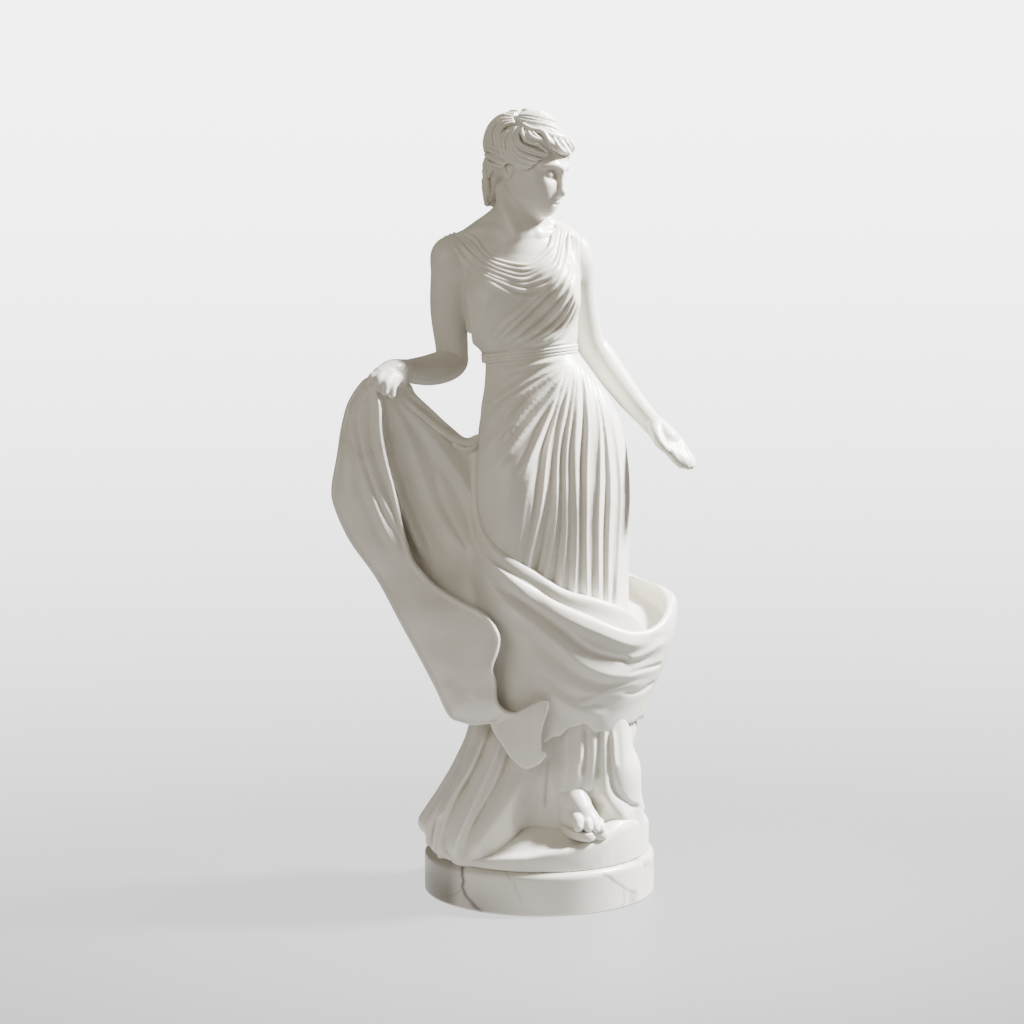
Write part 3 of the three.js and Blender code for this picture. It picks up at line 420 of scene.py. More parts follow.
def face_parts():
    parts = {
        "skull": joined([ellipsoid((0, -8, 14), (43, 54, 48)), ellipsoid((0, 14, -12), (34, 38, 50))]
                        + both_sides(lambda s: ellipsoid((s * 15, 27, -17), (18, 20, 20))), 12),
        "jaw": joined(both_sides(lambda s: limb([(s * 25, 0, -22), (s * 18, 17, -34), (s * 8, 31, -43.5)],
                                                (10, 11, 10), 8))
                      + [ellipsoid((0, 37, -48), (12.5, 12, 10)), ellipsoid((0, 33, -34), (19, 18, 16))], 14),
        "brow": joined(both_sides(lambda s: limb([(s * 28, 36, 8), (s * 16, 46, 12), (s * 3, 49, 9)],
                                                 (2.6, 3.4, 3.6))), 3),
        "nose": joined([limb([(0, 47, 9), (0, 52, -6), (0, 57.2, -18)], (4.4, 4.6, 4.8)),
                        ellipsoid((0, 58, -20.5), (5.2, 5.2, 4.8))]
                       + both_sides(lambda s: limb(
                           [(s * 6.8, 49.5, -23), (s * 4.3, 52.8, -23.5), (0, 54.8, -23)],
                           (3.2, 3.4, 3.2))), 5),
        "upper_lip": limb([(-8.8, 46.4, -36.6), (-3.4, 50.4, -34.6), (0, 50.6, -35.2), (3.4, 50.4, -34.6),
                           (8.8, 46.4, -36.6)], (1.4, 2.9, 2.7, 2.9, 1.4), 6),
        "lower_lip": limb([(-7.8, 46.2, -38.4), (0, 49.6, -40), (7.8, 46.2, -38.4)], (1.5, 3.4, 1.5), 6),
        "mouth": limb([(-9.8, 47.8, -37.2), (-4, 52.8, -37), (0, 53.2, -37.5), (4, 52.8, -37),
                       (9.8, 47.8, -37.2)], (0.6, 1.1, 1.1, 1.1, 0.6), 6),
    }
    parts["sockets"] = joined(both_sides(lambda s: ellipsoid((s * 16.5, 53, 0.5), (12.5, 8.5, 7.6))), 1)
    parts["eyes"] = joined(both_sides(lambda s: ellipsoid((s * 16.5, 36.2, -0.8), (9.4, 9.6, 7.4))), 1)
    parts["lids"] = joined(both_sides(lambda s: ellipsoid((s * 16.6, 36.4, -0.4), (10.2, 10.4, 8.2))), 1)
    parts["ears"] = joined(
        both_sides(lambda s: limb([(s * 40, 1, 2), (s * 44, -4, 8), (s * 46.5, -12, 6), (s * 46, -14, -4),
                                   (s * 43, -8, -14), (s * 41, -4, -18), (s * 40, -1, -12)],
                                  (2.5, 3, 3, 3, 3.2, 3.6, 2.5)))
        + both_sides(lambda s: ellipsoid((s * 39, -6, -6), (4.5, 8, 12))), 2)
    return parts


FACE = face_parts()


def bare_head(p):
    q = into_head(p)
    out = np.sqrt(np.einsum("ij,ij->i", q, q)) - 80
    near = out < NEAR
    q = q[near]
    if not len(q):
        return out
    form = grown(FACE["skull"](q), q, (FACE["jaw"], 16), (FACE["brow"], 8))
    form = join(without(form, FACE["sockets"](q), 8), FACE["eyes"](q), 1)
    lowered = -4.4 - q[:, 2] + 0.02 * (np.abs(q[:, 0]) - 16.5) ** 2
    form = join(form, common(FACE["lids"](q), lowered, 0.8), 1)
    form = grown(form, q, (FACE["nose"], 5), (FACE["upper_lip"], 3), (FACE["lower_lip"], 3))
    out[near] = join(without(form, FACE["mouth"](q), 1.4), FACE["ears"](q), 2)
    return out


# Hair: locks laid over a cap, in the head's own places

HAIR_CENTRE = np.array((0.0, -11.0, 17.0))
HAIR_RADII = np.array((50.0, 58.0, 51.0))


def on_hair(turn, rise, lift=0.0):
    """A place on the cap of hair. Turn 0 is forward, -90 her right and 180 behind; rise is up from level."""
    turn, rise = math.radians(turn), math.radians(rise)
    way = np.array((math.sin(turn) * math.cos(rise), math.cos(turn) * math.cos(rise), math.sin(rise)))
    return tuple(HAIR_CENTRE + way * (HAIR_RADII + lift))


def lock(stops, width, lift=0.0, steps=12):
    """A lock of hair through [turn, rise] stops, thickest in the middle."""
    path = through(stops, 6)
    t = np.linspace(0, 1, steps + 1)
    turns, rises = (np.interp(t * (len(path) - 1), np.arange(len(path)), path[:, i]) for i in (0, 1))
    bulge = np.sin(math.pi * (0.1 + 0.8 * t))
    places = [on_hair(turn, rise, lift * b) for turn, rise, b in zip(turns, rises, bulge)]
    return limb(places, list(width * (0.5 + 0.5 * bulge)), 1)


# Streams of hair: each is a few [turn, rise] lines that run side by side, with more locks between them
OVER_TOP = [
    [(-112, 62), (-70, 78), (30, 80), (44, 60)], [(-106, 60), (-73, 68), (3, 71), (36, 56)],
    [(-96, 53), (-55, 55), (-15, 55), (30, 44)], [(-88, 46), (-55, 47), (-26, 47), (16, 38)],
]
TEMPLE = [
    [(-81, 39), (-81, 24), (-72, 11), (-55, 9), (-34, 9)],
    [(-90, 33), (-85, 16), (-74, 3), (-61, -1), (-44, -2)],
    [(-94, 26), (-91, 9), (-82, -6), (-68, -11), (-51, -12)],
    [(-104, 23), (-101, 6), (-93, -9), (-79, -17), (-57, -21)],
]
OVER_TEMPLE = [
    [(-78, 40), (-76, 28), (-66, 18), (-50, 18), (-34, 13)],
    [(-70, 38), (-68, 30), (-58, 24), (-46, 24), (-31, 17)],
    [(-62, 36), (-60, 32), (-52, 28), (-42, 27), (-30, 20)],
]
BROW_WAVE = [
    [(-62, 38), (-46, 36), (-35, 24), (-12, 15)], [(-36, 38), (-31, 28), (-20, 19), (6, 15)],
    [(-14, 38), (-14, 28), (-3, 19), (18, 15)], [(8, 37), (9, 28), (20, 20), (32, 15)],
    [(34, 36), (35, 28), (42, 18), (50, 10)],
]
BEHIND = [
    [(-100, 40), (-108, 30), (-109, 18), (-103, 4), (-95, -8)],
    [(-104, 42), (-117, 33), (-118, 20), (-110, 5), (-100, -8)],
    [(-112, 46), (-140, 39), (-142, 24), (-132, 8), (-118, -10)],
    [(-122, 54), (-156, 42), (-160, 22), (-154, 0), (-143, -18)],
    [(-140, 62), (-180, 46), (-182, 24), (-180, 0), (-176, -18)],
]
OVER_EAR = [
    [(-46, -4), (-68, -3), (-92, -5), (-116, -5), (-141, -9)],
    [(-50, -12), (-70, -12), (-92, -17), (-116, -17), (-141, -20)],
    [(-56, -22), (-74, -22), (-96, -27), (-118, -29), (-147, -30)],
]
BEHIND_LEFT_TEMPLE = [[(108, 60), (90, 66), (70, 60), (55, 46)], [(96, 48), (84, 50), (72, 46), (60, 36)]]
CREST = [(-80, 42), (-65, 38), (-47, 39), (-33, 36), (-12, 36), (10, 35), (34, 34), (60, 34), (84, 38)]


def stream(lines, between, width, lift, mirrored=False):
    locks = []
    count = (len(lines) - 1) * between + 1
    for n in range(count):
        at = n / between
        low = min(int(at), len(lines) - 2)
        share = at - low
        stops = [((1 - share) * a[0] + share * b[0],
                  (1 - share) * a[1] + share * b[1] + 1.2 * math.sin(2.4 * n + k))
                 for k, (a, b) in enumerate(zip(lines[low], lines[low + 1]))]
        if mirrored:
            stops = [(-turn, rise) for turn, rise in stops]
        locks.append(lock(stops, width * (1 + 0.22 * math.sin(2.1 * n)), lift + 1.4 * math.cos(math.pi * n)))
    return locks


def nape_lock(turn, swing, width):
    """A wavy lock from behind the ear down the mass of hair on the nape."""
    places = []
    for n in range(9):
        share = n / 8
        out = 1 - 0.7 * share ** 1.7
        way = math.radians(turn + 12 * math.sin(1.5 * n + swing))
        bump = 2.2 * math.sin(1.9 * n + swing)
        places.append(((27 + bump) * out * math.sin(way),
                       -40 + (19.5 + bump) * out * math.cos(way) - 3 * share, -10 - 7.2 * n))
    return limb(places, [width * (1 - 0.35 * n / 8) for n in range(9)], 2)


def hair_locks():
    locks = stream(OVER_TOP, 3, 3.5, 1.6) + stream(TEMPLE, 4, 2.7, 1.8) + stream(BROW_WAVE, 3, 3.3, 4.2)
    locks += stream(OVER_TEMPLE, 3, 3.2, 2.4) + stream(OVER_TEMPLE, 3, 3.2, 2.4, True)
    locks += stream(BEHIND, 4, 3.0, 1.6) + stream(OVER_EAR, 3, 2.7, 1.5)
    locks += stream(TEMPLE, 3, 3.2, 1.6, True) + stream(BEHIND, 3, 3.6, 1.4, True)
    locks += stream(OVER_EAR, 2, 3.2, 1.2, True) + stream(BEHIND_LEFT_TEMPLE, 3, 3.4, 1.4)
    locks.append(lock(CREST, 5.0, 3.4, 24))
    for n in range(17):
        locks.append(nape_lock(-100 - 10 * n, 1.3 * n, 4.2 + 0.8 * (n % 2)))
    return locks


def tie():
    """The knot of hair behind the crown, with a loop at each side."""
    loops = both_sides(lambda s: limb(
        [(s * 6, -20, 64.5), (s * 17, -15, 62.5), (s * 27, -20, 57), (s * 28, -28, 53), (s * 19, -32, 57),
         (s * 8, -28, 63.5)], (4, 4.6, 4.6, 4.2, 4.6, 4)))
    bands = [limb([(x, -14, 64), (x * 1.05, -24, 67), (x, -34, 61)], (3, 3.6, 3)) for x in (-7, 0, 7)]
    return loops + bands


HAIR = hair_locks() + tie()
HAIR_CAP = joined([ellipsoid(HAIR_CENTRE, HAIR_RADII - 1.9), ellipsoid((0, -37, -14), (27, 17, 22)),
                   ellipsoid((0, -40, -36), (19, 12, 28)), ellipsoid((0, -42, -58), (9, 6, 16))], 8)
EAR_ROOM = joined(both_sides(lambda s: ellipsoid((s * 47, 0, -14), (12, 11, 15))), 1)


def hair(q):
    hairline = 0.74 * q[:, 1] - 0.67 * q[:, 2] - 13 + 1.2 * np.cos(q[:, 0] * 0.5)
    cap = common(HAIR_CAP(q), hairline, 5)
    strands = np.full(len(q), 1e3, np.float32)
    for part in HAIR:
        strands = join(strands, part(q), 0.6)
    return without(join(cap, strands, 1.2), EAR_ROOM(q), 2)


# Neck, shoulders, arms and hands

NECK = limb([(-34, 10, 808), (-30, 6, 842), (-24, 6, 880), (-17, 6, 905)], (42, 36, 31, 31), 14)
COLLAR = limb([(-116, 8, 802), (-90, 12, 824), (-58, 14, 845), (-24, 16, 850), (14, 22, 838), (47, 24, 814)],
              (24, 21, 21, 23, 18, 21))
SHOULDERS = [ellipsoid((-117, 10, 798), (28, 27, 30)), ellipsoid((50, 24, 792), (22, 24, 32))]
RIGHT_ARM = limb([(-119, 8, 802), (-123, 26, 735), (-119, 44, 676), (-122, 42, 659), (-147, 0, 651),
                  (-182, -58, 651)], (26, 25, 22, 22.5, 21, 14.5), 6)
LEFT_ARM = limb([(51, 24, 796), (56, 50, 745), (68, 72, 692), (84, 76, 667), (117, 45, 620), (150, 12, 580)],
                (20.5, 21, 20, 20.5, 18, 13), 6)
RIGHT_HAND = joined([
    limb([(-178, -54, 653), (-194, -68, 653), (-208, -80, 648)], (13, 14.5, 11)),
    limb([(-184, -66, 642), (-202, -80, 642)], (11, 10)),
    limb([(-206, -78, 651), (-218, -88, 644), (-223, -92, 635)], (7.4, 7, 5.6), 6),
    limb([(-200, -83, 649), (-210, -94, 641), (-213, -97, 630)], (7.4, 7, 5.6), 6),
    limb([(-194, -84, 646), (-201, -95, 637), (-203, -97, 626)], (7.2, 6.6, 5.4), 6),
    limb([(-187, -81, 643), (-193, -91, 633), (-194, -93, 622)], (6.6, 6, 4.8), 6),
    limb([(-202, -64, 647), (-216, -74, 639), (-226, -86, 633)], (8, 6.6, 5)),
], 4)
LEFT_HAND = joined([
    limb([(148, 14, 583), (160, 6, 571), (172, -2, 558)], (12.5, 15, 15)),
    limb([(160, 10, 572), (178, 6, 558), (190, -2, 546)], (12, 12, 9)),
    limb([(165, -8, 558), (174, -19, 544), (182, -23, 533), (189, -22, 525)], (8, 7.4, 6.6, 5.2), 6),
    limb([(173, -6, 554), (183, -16, 541), (191, -20, 531), (197, -19, 523)], (8, 7.4, 6.6, 5.2), 6),
    limb([(181, -2, 551), (191, -11, 539), (198, -15, 530), (203, -15, 523)], (8, 7.2, 6.2, 5), 6),
    limb([(188, 3, 549), (197, -4, 539), (203, -8, 531), (206, -9, 525)], (7.2, 6.4, 5.6, 4.6), 6),
    limb([(154, 0, 577), (156, -13, 565), (161, -21, 554), (168, -26, 546)], (9, 8, 6.8, 5.4), 6),
], 4)

# The dress: a bodice with a cowl of folds, a belt, and a skirt down to the mound

BODICE = loft([
    (646, -14, 4, 60, 48), (674, -15, 4, 62, 49), (694, -24, 4, 73, 57), (718, -26, 3, 76, 58),
    (748, -26, 2, 78, 56), (785, -27, 5, 80, 52), (808, -29, 8, 76, 42), (826, -30, 10, 62, 32),
])
BREASTS = [ellipsoid((-62, -28, 747), (37, 28, 38)), ellipsoid((20, -25, 752), (34, 30, 37))]


def torso(p):
    return grown(BODICE(p), p, (BREASTS[0], 18), (BREASTS[1], 18), (COLLAR, 18), (SHOULDERS[0], 14),
                 (SHOULDERS[1], 12))


def neckline(x, y):
    front = height_at([(-125, 844), (-103, 836), (-87, 826), (-77, 813), (-68, 804), (-54, 797), (-32, 792),
                       (-15, 792), (1, 804), (14, 818), (19, 838), (26, 858), (60, 868)], x)
    back = height_at([(-125, 844), (-100, 832), (-60, 806), (-20, 801), (12, 810), (24, 840), (60, 866)], x)
    return front + (back - front) * ramp(y, 0, 22)


COWL_LINES = [
    [(-103, 834), (-87, 825), (-77, 812), (-68, 803), (-54, 796), (-32, 791), (-15, 791), (1, 803),
     (14, 817), (18, 837)],
    [(-108, 833), (-91, 818), (-75, 801), (-57, 791), (-32, 785), (-13, 785), (3, 796), (16, 810), (22, 837)],
    [(-114, 833), (-98, 819), (-82, 803), (-62, 788), (-32, 778), (-13, 780), (5, 791), (18, 805), (25, 838)],
    [(-119, 831), (-105, 817), (-87, 799), (-66, 784), (-32, 772), (-13, 773), (5, 782),
     (21, 796), (30, 838)],
    [(-122, 829), (-108, 815), (-91, 797), (-68, 778), (-32, 766), (-13, 766), (7, 773),
     (24, 789), (34, 837)],
    [(-126, 828), (-112, 812), (-94, 792), (-71, 775), (-32, 759), (-11, 758), (10, 764),
     (26, 778), (35, 799), (39, 835)],
]
LOWEST_COWL = [(-110, 803), (-92, 785), (-69, 768), (-46, 755), (-22, 748), (0, 750), (20, 762), (34, 784)]


def cowl():
    parts = []
    for n, line in enumerate(COWL_LINES):
        laid = facing_depth(torso, line, 0.7)
        over = [(x, y + 16, z - 4) for x, y, z in (laid[0], laid[-1])]
        radii = [1.6, 2.2] + [3.0 + 0.25 * (n % 2)] * (len(laid) - 2) + [2.2, 1.6]
        parts.append(limb([over[0]] + laid + [over[1]], radii, 4))
        behind = [(-86 + 2 * n, 820 - 7 * n), (-20, 801 - 8 * n), (18 + 3 * n, 822 - 6 * n)]
        laid_behind = facing_depth(torso, behind, 0.8, 1)
        parts.append(limb([over[0]] + laid_behind + [over[1]], (2.6, 3.4, 3.6, 3.4, 2.6), 5))
    parts.append(limb(facing_depth(torso, LOWEST_COWL, 3.0), (2.4, 3.6, 4.4, 4.6, 4.4, 4, 3.2, 2), 6))
    return joined(parts, 1.2)


COWL = cowl()
BODICE_FOLDS = chart(folds([
    ([(-74, 688), (-50, 709), (-20, 734), (10, 762), (30, 790)], 3.4, 2.8),
    ([(-66, 685), (-38, 709), (-8, 737), (20, 765), (38, 792)], 3.4, 3.4),
    ([(-56, 682), (-26, 704), (4, 731), (28, 758), (43, 785)], 4, 4.4),
    ([(-46, 680), (-12, 700), (17, 724), (36, 750), (46, 776)], 3.8, 4.2),
    ([(-32, 679), (2, 696), (26, 716), (42, 742), (48, 766)], 3, 3.4),
    ([(-18, 680), (12, 694), (32, 712), (45, 736), (50, 756)], 3.2, 3.8),
    ([(0, 683), (24, 696), (39, 712), (49, 732), (53, 748)], 2.8, 3),
    ([(-90, 696), (-82, 720), (-66, 748)], 5, 1.6),
    ([(44, 826), (46, 808), (47, 790), (46, 762)], 2.6, 1.8),
    ([(39, 808), (41, 792), (40, 766)], 2.6, 1.8),
    ([(-104, 800), (-100, 762), (-97, 726), (-88, 696)], 3.4, 2.6),
    ([(-50, 676), (-24, 678), (10, 684), (44, 690)], 3, 2.2),
]))


def waist_place(p):
    """Height above the belt's middle, which rises a little towards the viewer's right."""
    return p[:, 2] - 673 - 0.11 * (p[:, 0] + 14)


BELT = loft([(652, -14, 4, 60, 48), (663, -14, 4, 63, 51), (684, -14, 4, 64, 52), (696, -14, 4, 60, 48)])


def belt(p):
    at = waist_place(p)
    bands = 1.6 * np.abs(np.cos(math.pi * at / 4.4)) ** 0.7
    return common(BELT(p) - bands, np.abs(at) - 6.4, 2.2)


SKIRT = loft([
    (-4, 0, 8, 132, 100), (45, 2, 6, 134, 98), (85, 2, 4, 125, 97), (119, 7, 2, 116, 95),
    (170, 22, 0, 111, 91), (240, 24, 0, 99, 89), (320, 24, 0, 97, 89), (400, 23, 0, 98, 89),
    (480, 22, 0, 100, 87), (523, 20, 2, 100, 83), (563, 16, 4, 98, 78), (603, 12, 5, 88, 69),
    (650, -2, 5, 71, 56), (677, -13, 4, 61, 50), (690, -14, 4, 58, 47),
])
THIGH_LINE = [(-20, -12, 590), (-28, -40, 510), (-32, -52, 430), (-36, -56, 350)]
THIGH = limb(THIGH_LINE, (52, 55, 48, 42), 10)
INNER_THIGH = limb(THIGH_LINE, (59, 62, 55, 49), 10)
OUTER_THIGH = limb(THIGH_LINE, (63, 66, 59, 53), 10)
FAN = [
    [(34, 660), (14, 601), (-8, 540), (-20, 470), (-40, 340)],
    [(40, 660), (27, 614), (11, 555), (2, 483), (-16, 404), (-26, 340)],
    [(44, 660), (34, 601), (23, 549), (20, 457), (8, 380), (0, 330)],
    [(48, 660), (41, 601), (34, 536), (34, 443), (27, 364), (25, 330)],
    [(52, 660), (50, 601), (46, 536), (48, 443), (45, 360), (44, 330)],
    [(57, 658), (64, 588), (62, 529), (61, 443), (62, 356), (61, 330)],
    [(62, 654), (78, 601), (80, 536), (77, 443), (78, 351), (77, 330)],
    [(67, 648), (86, 581), (94, 509), (92, 430), (91, 351), (90, 330)],
    [(75, 640), (98, 575), (107, 496), (104, 424), (102, 351), (101, 330)],
]
FAN_RELIEF = pleats(FAN, [2.4, 6, 9, 6, 9.5, 6.5, 10, 8, 5]) + folds([
    ([(42, 655), (30, 600), (16, 548), (10, 470), (-4, 400)], 2.4, 2),
    ([(50, 655), (46, 596), (41, 530), (42, 440), (37, 370)], 2.4, 2.4),
    ([(59, 650), (71, 592), (71, 530), (69, 440), (70, 355)], 2.6, 2.4),
    ([(70, 642), (92, 578), (100, 500), (98, 425), (97, 355)], 2.4, 2),
    ([(-8, 500), (-18, 430), (-34, 370)], 3, 1.8),
    ([(14, 470), (4, 410), (-12, 350)], 2.6, 1.8),
])
FAN_RELIEF *= ramp(PLANE_Z, 664, 625) * ramp(PLANE_Z, 300, 330)
HIP_FOLDS = folds([
    ([(42, 664), (-7, 642), (-46, 620), (-75, 600)], 4, 3.4),
    ([(42, 662), (-7, 632), (-46, 604), (-76, 577)], 5, 4.2),
    ([(42, 660), (-1, 620), (-37, 584), (-74, 550)], 4.4, 4.6),
    ([(42, 657), (10, 613), (-27, 567), (-66, 520)], 5, 4.6),
    ([(43, 654), (17, 606), (-6, 556), (-28, 508)], 4, 3.6),
    ([(20, 651), (-20, 618), (-54, 586)], 3, 2),
    ([(14, 636), (-20, 596), (-52, 558)], 3, 2),
    ([(-70, 655), (-76, 620), (-80, 590)], 5, 2.2),
    ([(30, 668), (-20, 656), (-58, 648)], 3.6, 2.6),
])
SKIRT_FOLDS = chart(FAN_RELIEF + HIP_FOLDS)
FOLD_AXIS = (20, 0)


def angle_round(p):
    return np.arctan2(p[:, 0] - FOLD_AXIS[0], FOLD_AXIS[1] - p[:, 1])


def hanging_folds(p, angle):
    """Folds that hang round the back, closer at the waist and with sharp valleys."""
    sway = 0.28 * np.sin(p[:, 2] * 0.011 + 2 * angle)
    broad = np.abs(np.cos(6.5 * (angle + sway))) ** 0.8 - 0.55
    fine = np.abs(np.cos(11 * (angle - 0.6 * sway) + 0.7)) ** 0.8 - 0.55
    return broad + 0.5 * fine


TRAILING = limb([(-20, -30, 215), (-28, -60, 150), (-38, -84, 100), (-54, -96, 62), (-70, -100, 32),
                 (-84, -98, 4)], (30, 36, 36, 32, 26, 20), 12)
FLARE = limb([(-66, 20, 210), (-80, 14, 150), (-100, 8, 108), (-122, 2, 72), (-148, 0, 33)],
             (24, 18, 17, 18, 18))
FLARE_FRONT = limb([(-52, -24, 205), (-72, -36, 130), (-92, -50, 76), (-108, -58, 34), (-114, -58, 2)],
                   (30, 28, 26, 22, 18))
CURLS = joined([limb(places, radii, 8) for places, radii in (
    ([(-78, -66, 130), (-92, -76, 80), (-106, -80, 44), (-112, -80, 16), (-112, -78, 0)], (10, 10, 9, 8, 7)),
    ([(-80, -50, 132), (-100, -62, 84), (-120, -66, 50), (-128, -66, 24), (-130, -64, 4)], (10, 9, 8, 7, 7)),
    ([(-84, -32, 130), (-106, -42, 86), (-126, -46, 56), (-136, -46, 30), (-138, -44, 8)], (10, 9, 8, 7, 7)),
    ([(-88, -14, 128), (-112, -18, 84), (-134, -22, 54), (-146, -22, 32), (-148, -20, 10)],
     (10, 9, 8.5, 8, 7)),
)] + [
    ellipsoid((-106, -54, 20), (26, 28, 40)),
    limb([(-56, -62, 150), (-74, -72, 96), (-92, -82, 50), (-98, -86, 4)], (24, 24, 22, 20), 8),
], 9)
SIDE_FOLD = joined([
    limb([(98, -40, 200), (102, -51, 140), (108, -56, 100), (116, -50, 60), (120, -46, 10)],
         (22, 24, 26, 24, 22)),
    ellipsoid((106, -52, 112), (30, 36, 42)),
    limb([(86, -84, 100), (97, -84, 82), (122, -66, 72), (134, -44, 64)], (7, 7, 8, 7), 8),
    limb([(84, -78, 60), (108, -64, 50), (126, -44, 44)], (16, 20, 14), 8),
], 6)
UPRIGHTS = joined([
    limb([(22, -74, 200), (20, -80, 140), (16, -80, 100), (12, -78, 50)], (9, 8, 7, 7)),
    limb([(8, -78, 200), (7, -84, 140), (4, -84, 100), (2, -80, 50)], (7, 7, 6, 6)),
    limb([(70, -84, 200), (70, -90, 165), (67, -95, 125), (62, -97, 104)], (8, 8, 7, 6), 8),
    limb([(84, -82, 200), (83, -88, 160), (84, -92, 106), (92, -92, 82), (108, -84, 62)],
         (7, 7, 6.5, 7, 7), 8),
    limb([(104, -60, 200), (109, -66, 160), (116, -66, 132), (124, -60, 110)], (8, 8, 8, 7)),
], 7)
KNEE_CLOTH = joined([
    limb([(46, -74, 210), (47, -82, 165), (44, -85, 130), (40, -86, 104)], (26, 25, 24, 22), 8),
    limb([(70, -70, 210), (72, -76, 165), (74, -78, 130), (78, -78, 96)], (24, 24, 22, 18), 8),
    limb([(92, -62, 210), (94, -68, 160), (96, -70, 110), (98, -68, 60)], (24, 24, 24, 24), 8),
], 12)
FOOT_HOLLOW = ellipsoid((4, -136, 66), (36, 44, 64))
BASE_FOLDS = chart(folds([
    ([(-10, 190), (-20, 130), (-46, 84), (-76, 40), (-90, 14)], 9, 6),
    ([(-30, 180), (-50, 118), (-80, 62), (-102, 12)], 5, -8),
    ([(-42, 196), (-62, 140), (-90, 80), (-112, 30), (-116, 6)], 6, 6),
    ([(-66, 190), (-92, 128), (-122, 78), (-142, 42)], 5, 4.5),
    ([(34, 190), (35, 150), (33, 118)], 3.4, 2.4),
    ([(52, 196), (54, 160), (52, 136)], 3.4, 2),
    ([(58, 190), (60, 150), (56, 118)], 4, -4),
    ([(78, 186), (78, 150), (76, 112)], 3.6, -5),
    ([(92, 190), (92, 150), (97, 104), (118, 76), (140, 66)], 4, -3.4),
    ([(-56, 200), (-80, 134), (-108, 78), (-126, 34), (-128, 8)], 4.5, -6),
    ([(96, 180), (98, 150), (100, 126)], 3.4, 2.4),
    ([(11, 150), (9, 105), (7, 70)], 2.4, -3),
]))


def skirt(p):
    x, y, z = p.T
    angle = angle_round(p)
    facing = ramp(-y, -14, 26)
    form = join(SKIRT(p), THIGH(p), 19)
    form -= facing * SKIRT_FOLDS(x, z)
    depth = 5.4 * ramp(z, 660, 560) * (1 - 0.35 * ramp(z, 300, 120))
    form -= ramp(y, 6, 46) * depth * hanging_folds(p, angle)
    low = z < 245
    if low.any():
        q = p[low]
        base = grown(form[low], q, (FLARE, 16), (FLARE_FRONT, 18), (CURLS, 12), (TRAILING, 18),
                     (SIDE_FOLD, 10))
        base = without(base, FOOT_HOLLOW(q), 12)
        base = grown(base, q, (KNEE_CLOTH, 10), (UPRIGHTS, 7))
        base -= facing[low] * BASE_FOLDS(q[:, 0], q[:, 2])
        form[low] = base
    return common(form, waist_place(p) - 4, 3)


def bodice(p):
    x, y, z = p.T
    facing = ramp(-y, -8, 30)
    form = torso(p) - facing * BODICE_FOLDS(x, z)
    form -= (1 - facing) * 2.6 * hanging_folds(p, angle_round(p)) * ramp(z, 815, 760)
    form = common(form, z - neckline(x, y), 2)
    form = common(form, -2 - waist_place(p), 3)
    form = common(form, np.maximum(-104 + 0.12 * (800 - z) - x, x - 54 - 0.02 * (800 - z)), 3)
    return grown(form, p, (COWL, 2), (belt, 1.2))


# The mantle: an inner layer with a rolled upper edge, an outer one that opens in a pocket at her
# left hip, the side that her hand lifts, and its border that turns over in front

INNER_WRAP = loft([
    (150, 24, -3, 104, 96), (240, 27, -3, 112, 100), (300, 30, -3, 117, 104), (350, 28, -3, 115, 103),
    (400, 21, -2, 107, 99), (470, 18, 0, 105, 97), (560, 10, 4, 99, 91), (600, 8, 4, 92, 84),
])
OUTER_WRAP = loft([
    (110, 20, -4, 106, 100), (165, 24, -4, 111, 107), (210, 30, -5, 120, 113), (260, 37, -4, 135, 118),
    (305, 42, -3, 142, 118), (350, 42, -3, 135, 113), (400, 30, -2, 122, 106), (470, 18, 0, 110, 101),
    (560, 10, 4, 103, 94), (600, 8, 4, 96, 87),
])
INNER_TOP = around_body([
    (-150, 520), (-120, 552), (-95, 560), (-72, 534), (-58, 465), (-42, 427), (-17, 393), (6, 367), (33, 353),
    (54, 338), (68, 322), (84, 302), (100, 290), (120, 290), (140, 330), (165, 420),
])
OUTER_TOP = around_body([
    (-150, 512), (-120, 546), (-95, 552), (-76, 520), (-64, 452), (-42, 408), (-18, 374), (0, 352), (27, 328),
    (45, 312), (60, 312), (74, 326), (86, 340), (100, 354), (117, 362), (135, 384), (165, 450),
])
HEM = around_body([
    (-150, 170), (-115, 158), (-80, 176), (-50, 184), (-36, 172), (-15, 168), (0, 170), (8, 184),
    (18, 188), (30, 178), (42, 170), (56, 178), (68, 184), (84, 180), (108, 176), (130, 168),
    (152, 152), (176, 168),
])
WRAP_FOLDS = chart(folds([
    ([(-76, 470), (-60, 408), (-20, 362), (24, 335), (76, 312), (122, 294), (156, 296)], 8, 3),
    ([(-79, 393), (-53, 370), (-24, 351), (24, 318), (67, 287), (122, 272), (160, 280)], 5, -4.5),
    ([(-72, 368), (-30, 338), (20, 300), (64, 266), (112, 252), (160, 262)], 9, 4),
    ([(-40, 300), (0, 268), (44, 240), (92, 228), (140, 240)], 13, 2),
    ([(-8, 262), (22, 226), (56, 208), (92, 200)], 10, 3),
    ([(30, 206), (62, 222), (100, 236), (148, 240)], 8, 2.4),
    ([(112, 254), (136, 258), (164, 260)], 3, -4.5),
    ([(104, 230), (130, 226), (156, 236)], 4, -3),
    ([(110, 270), (140, 280), (170, 294)], 6, 2.6),
    ([(-56, 300), (-44, 262), (-20, 226), (10, 200)], 9, 2.4),
]))


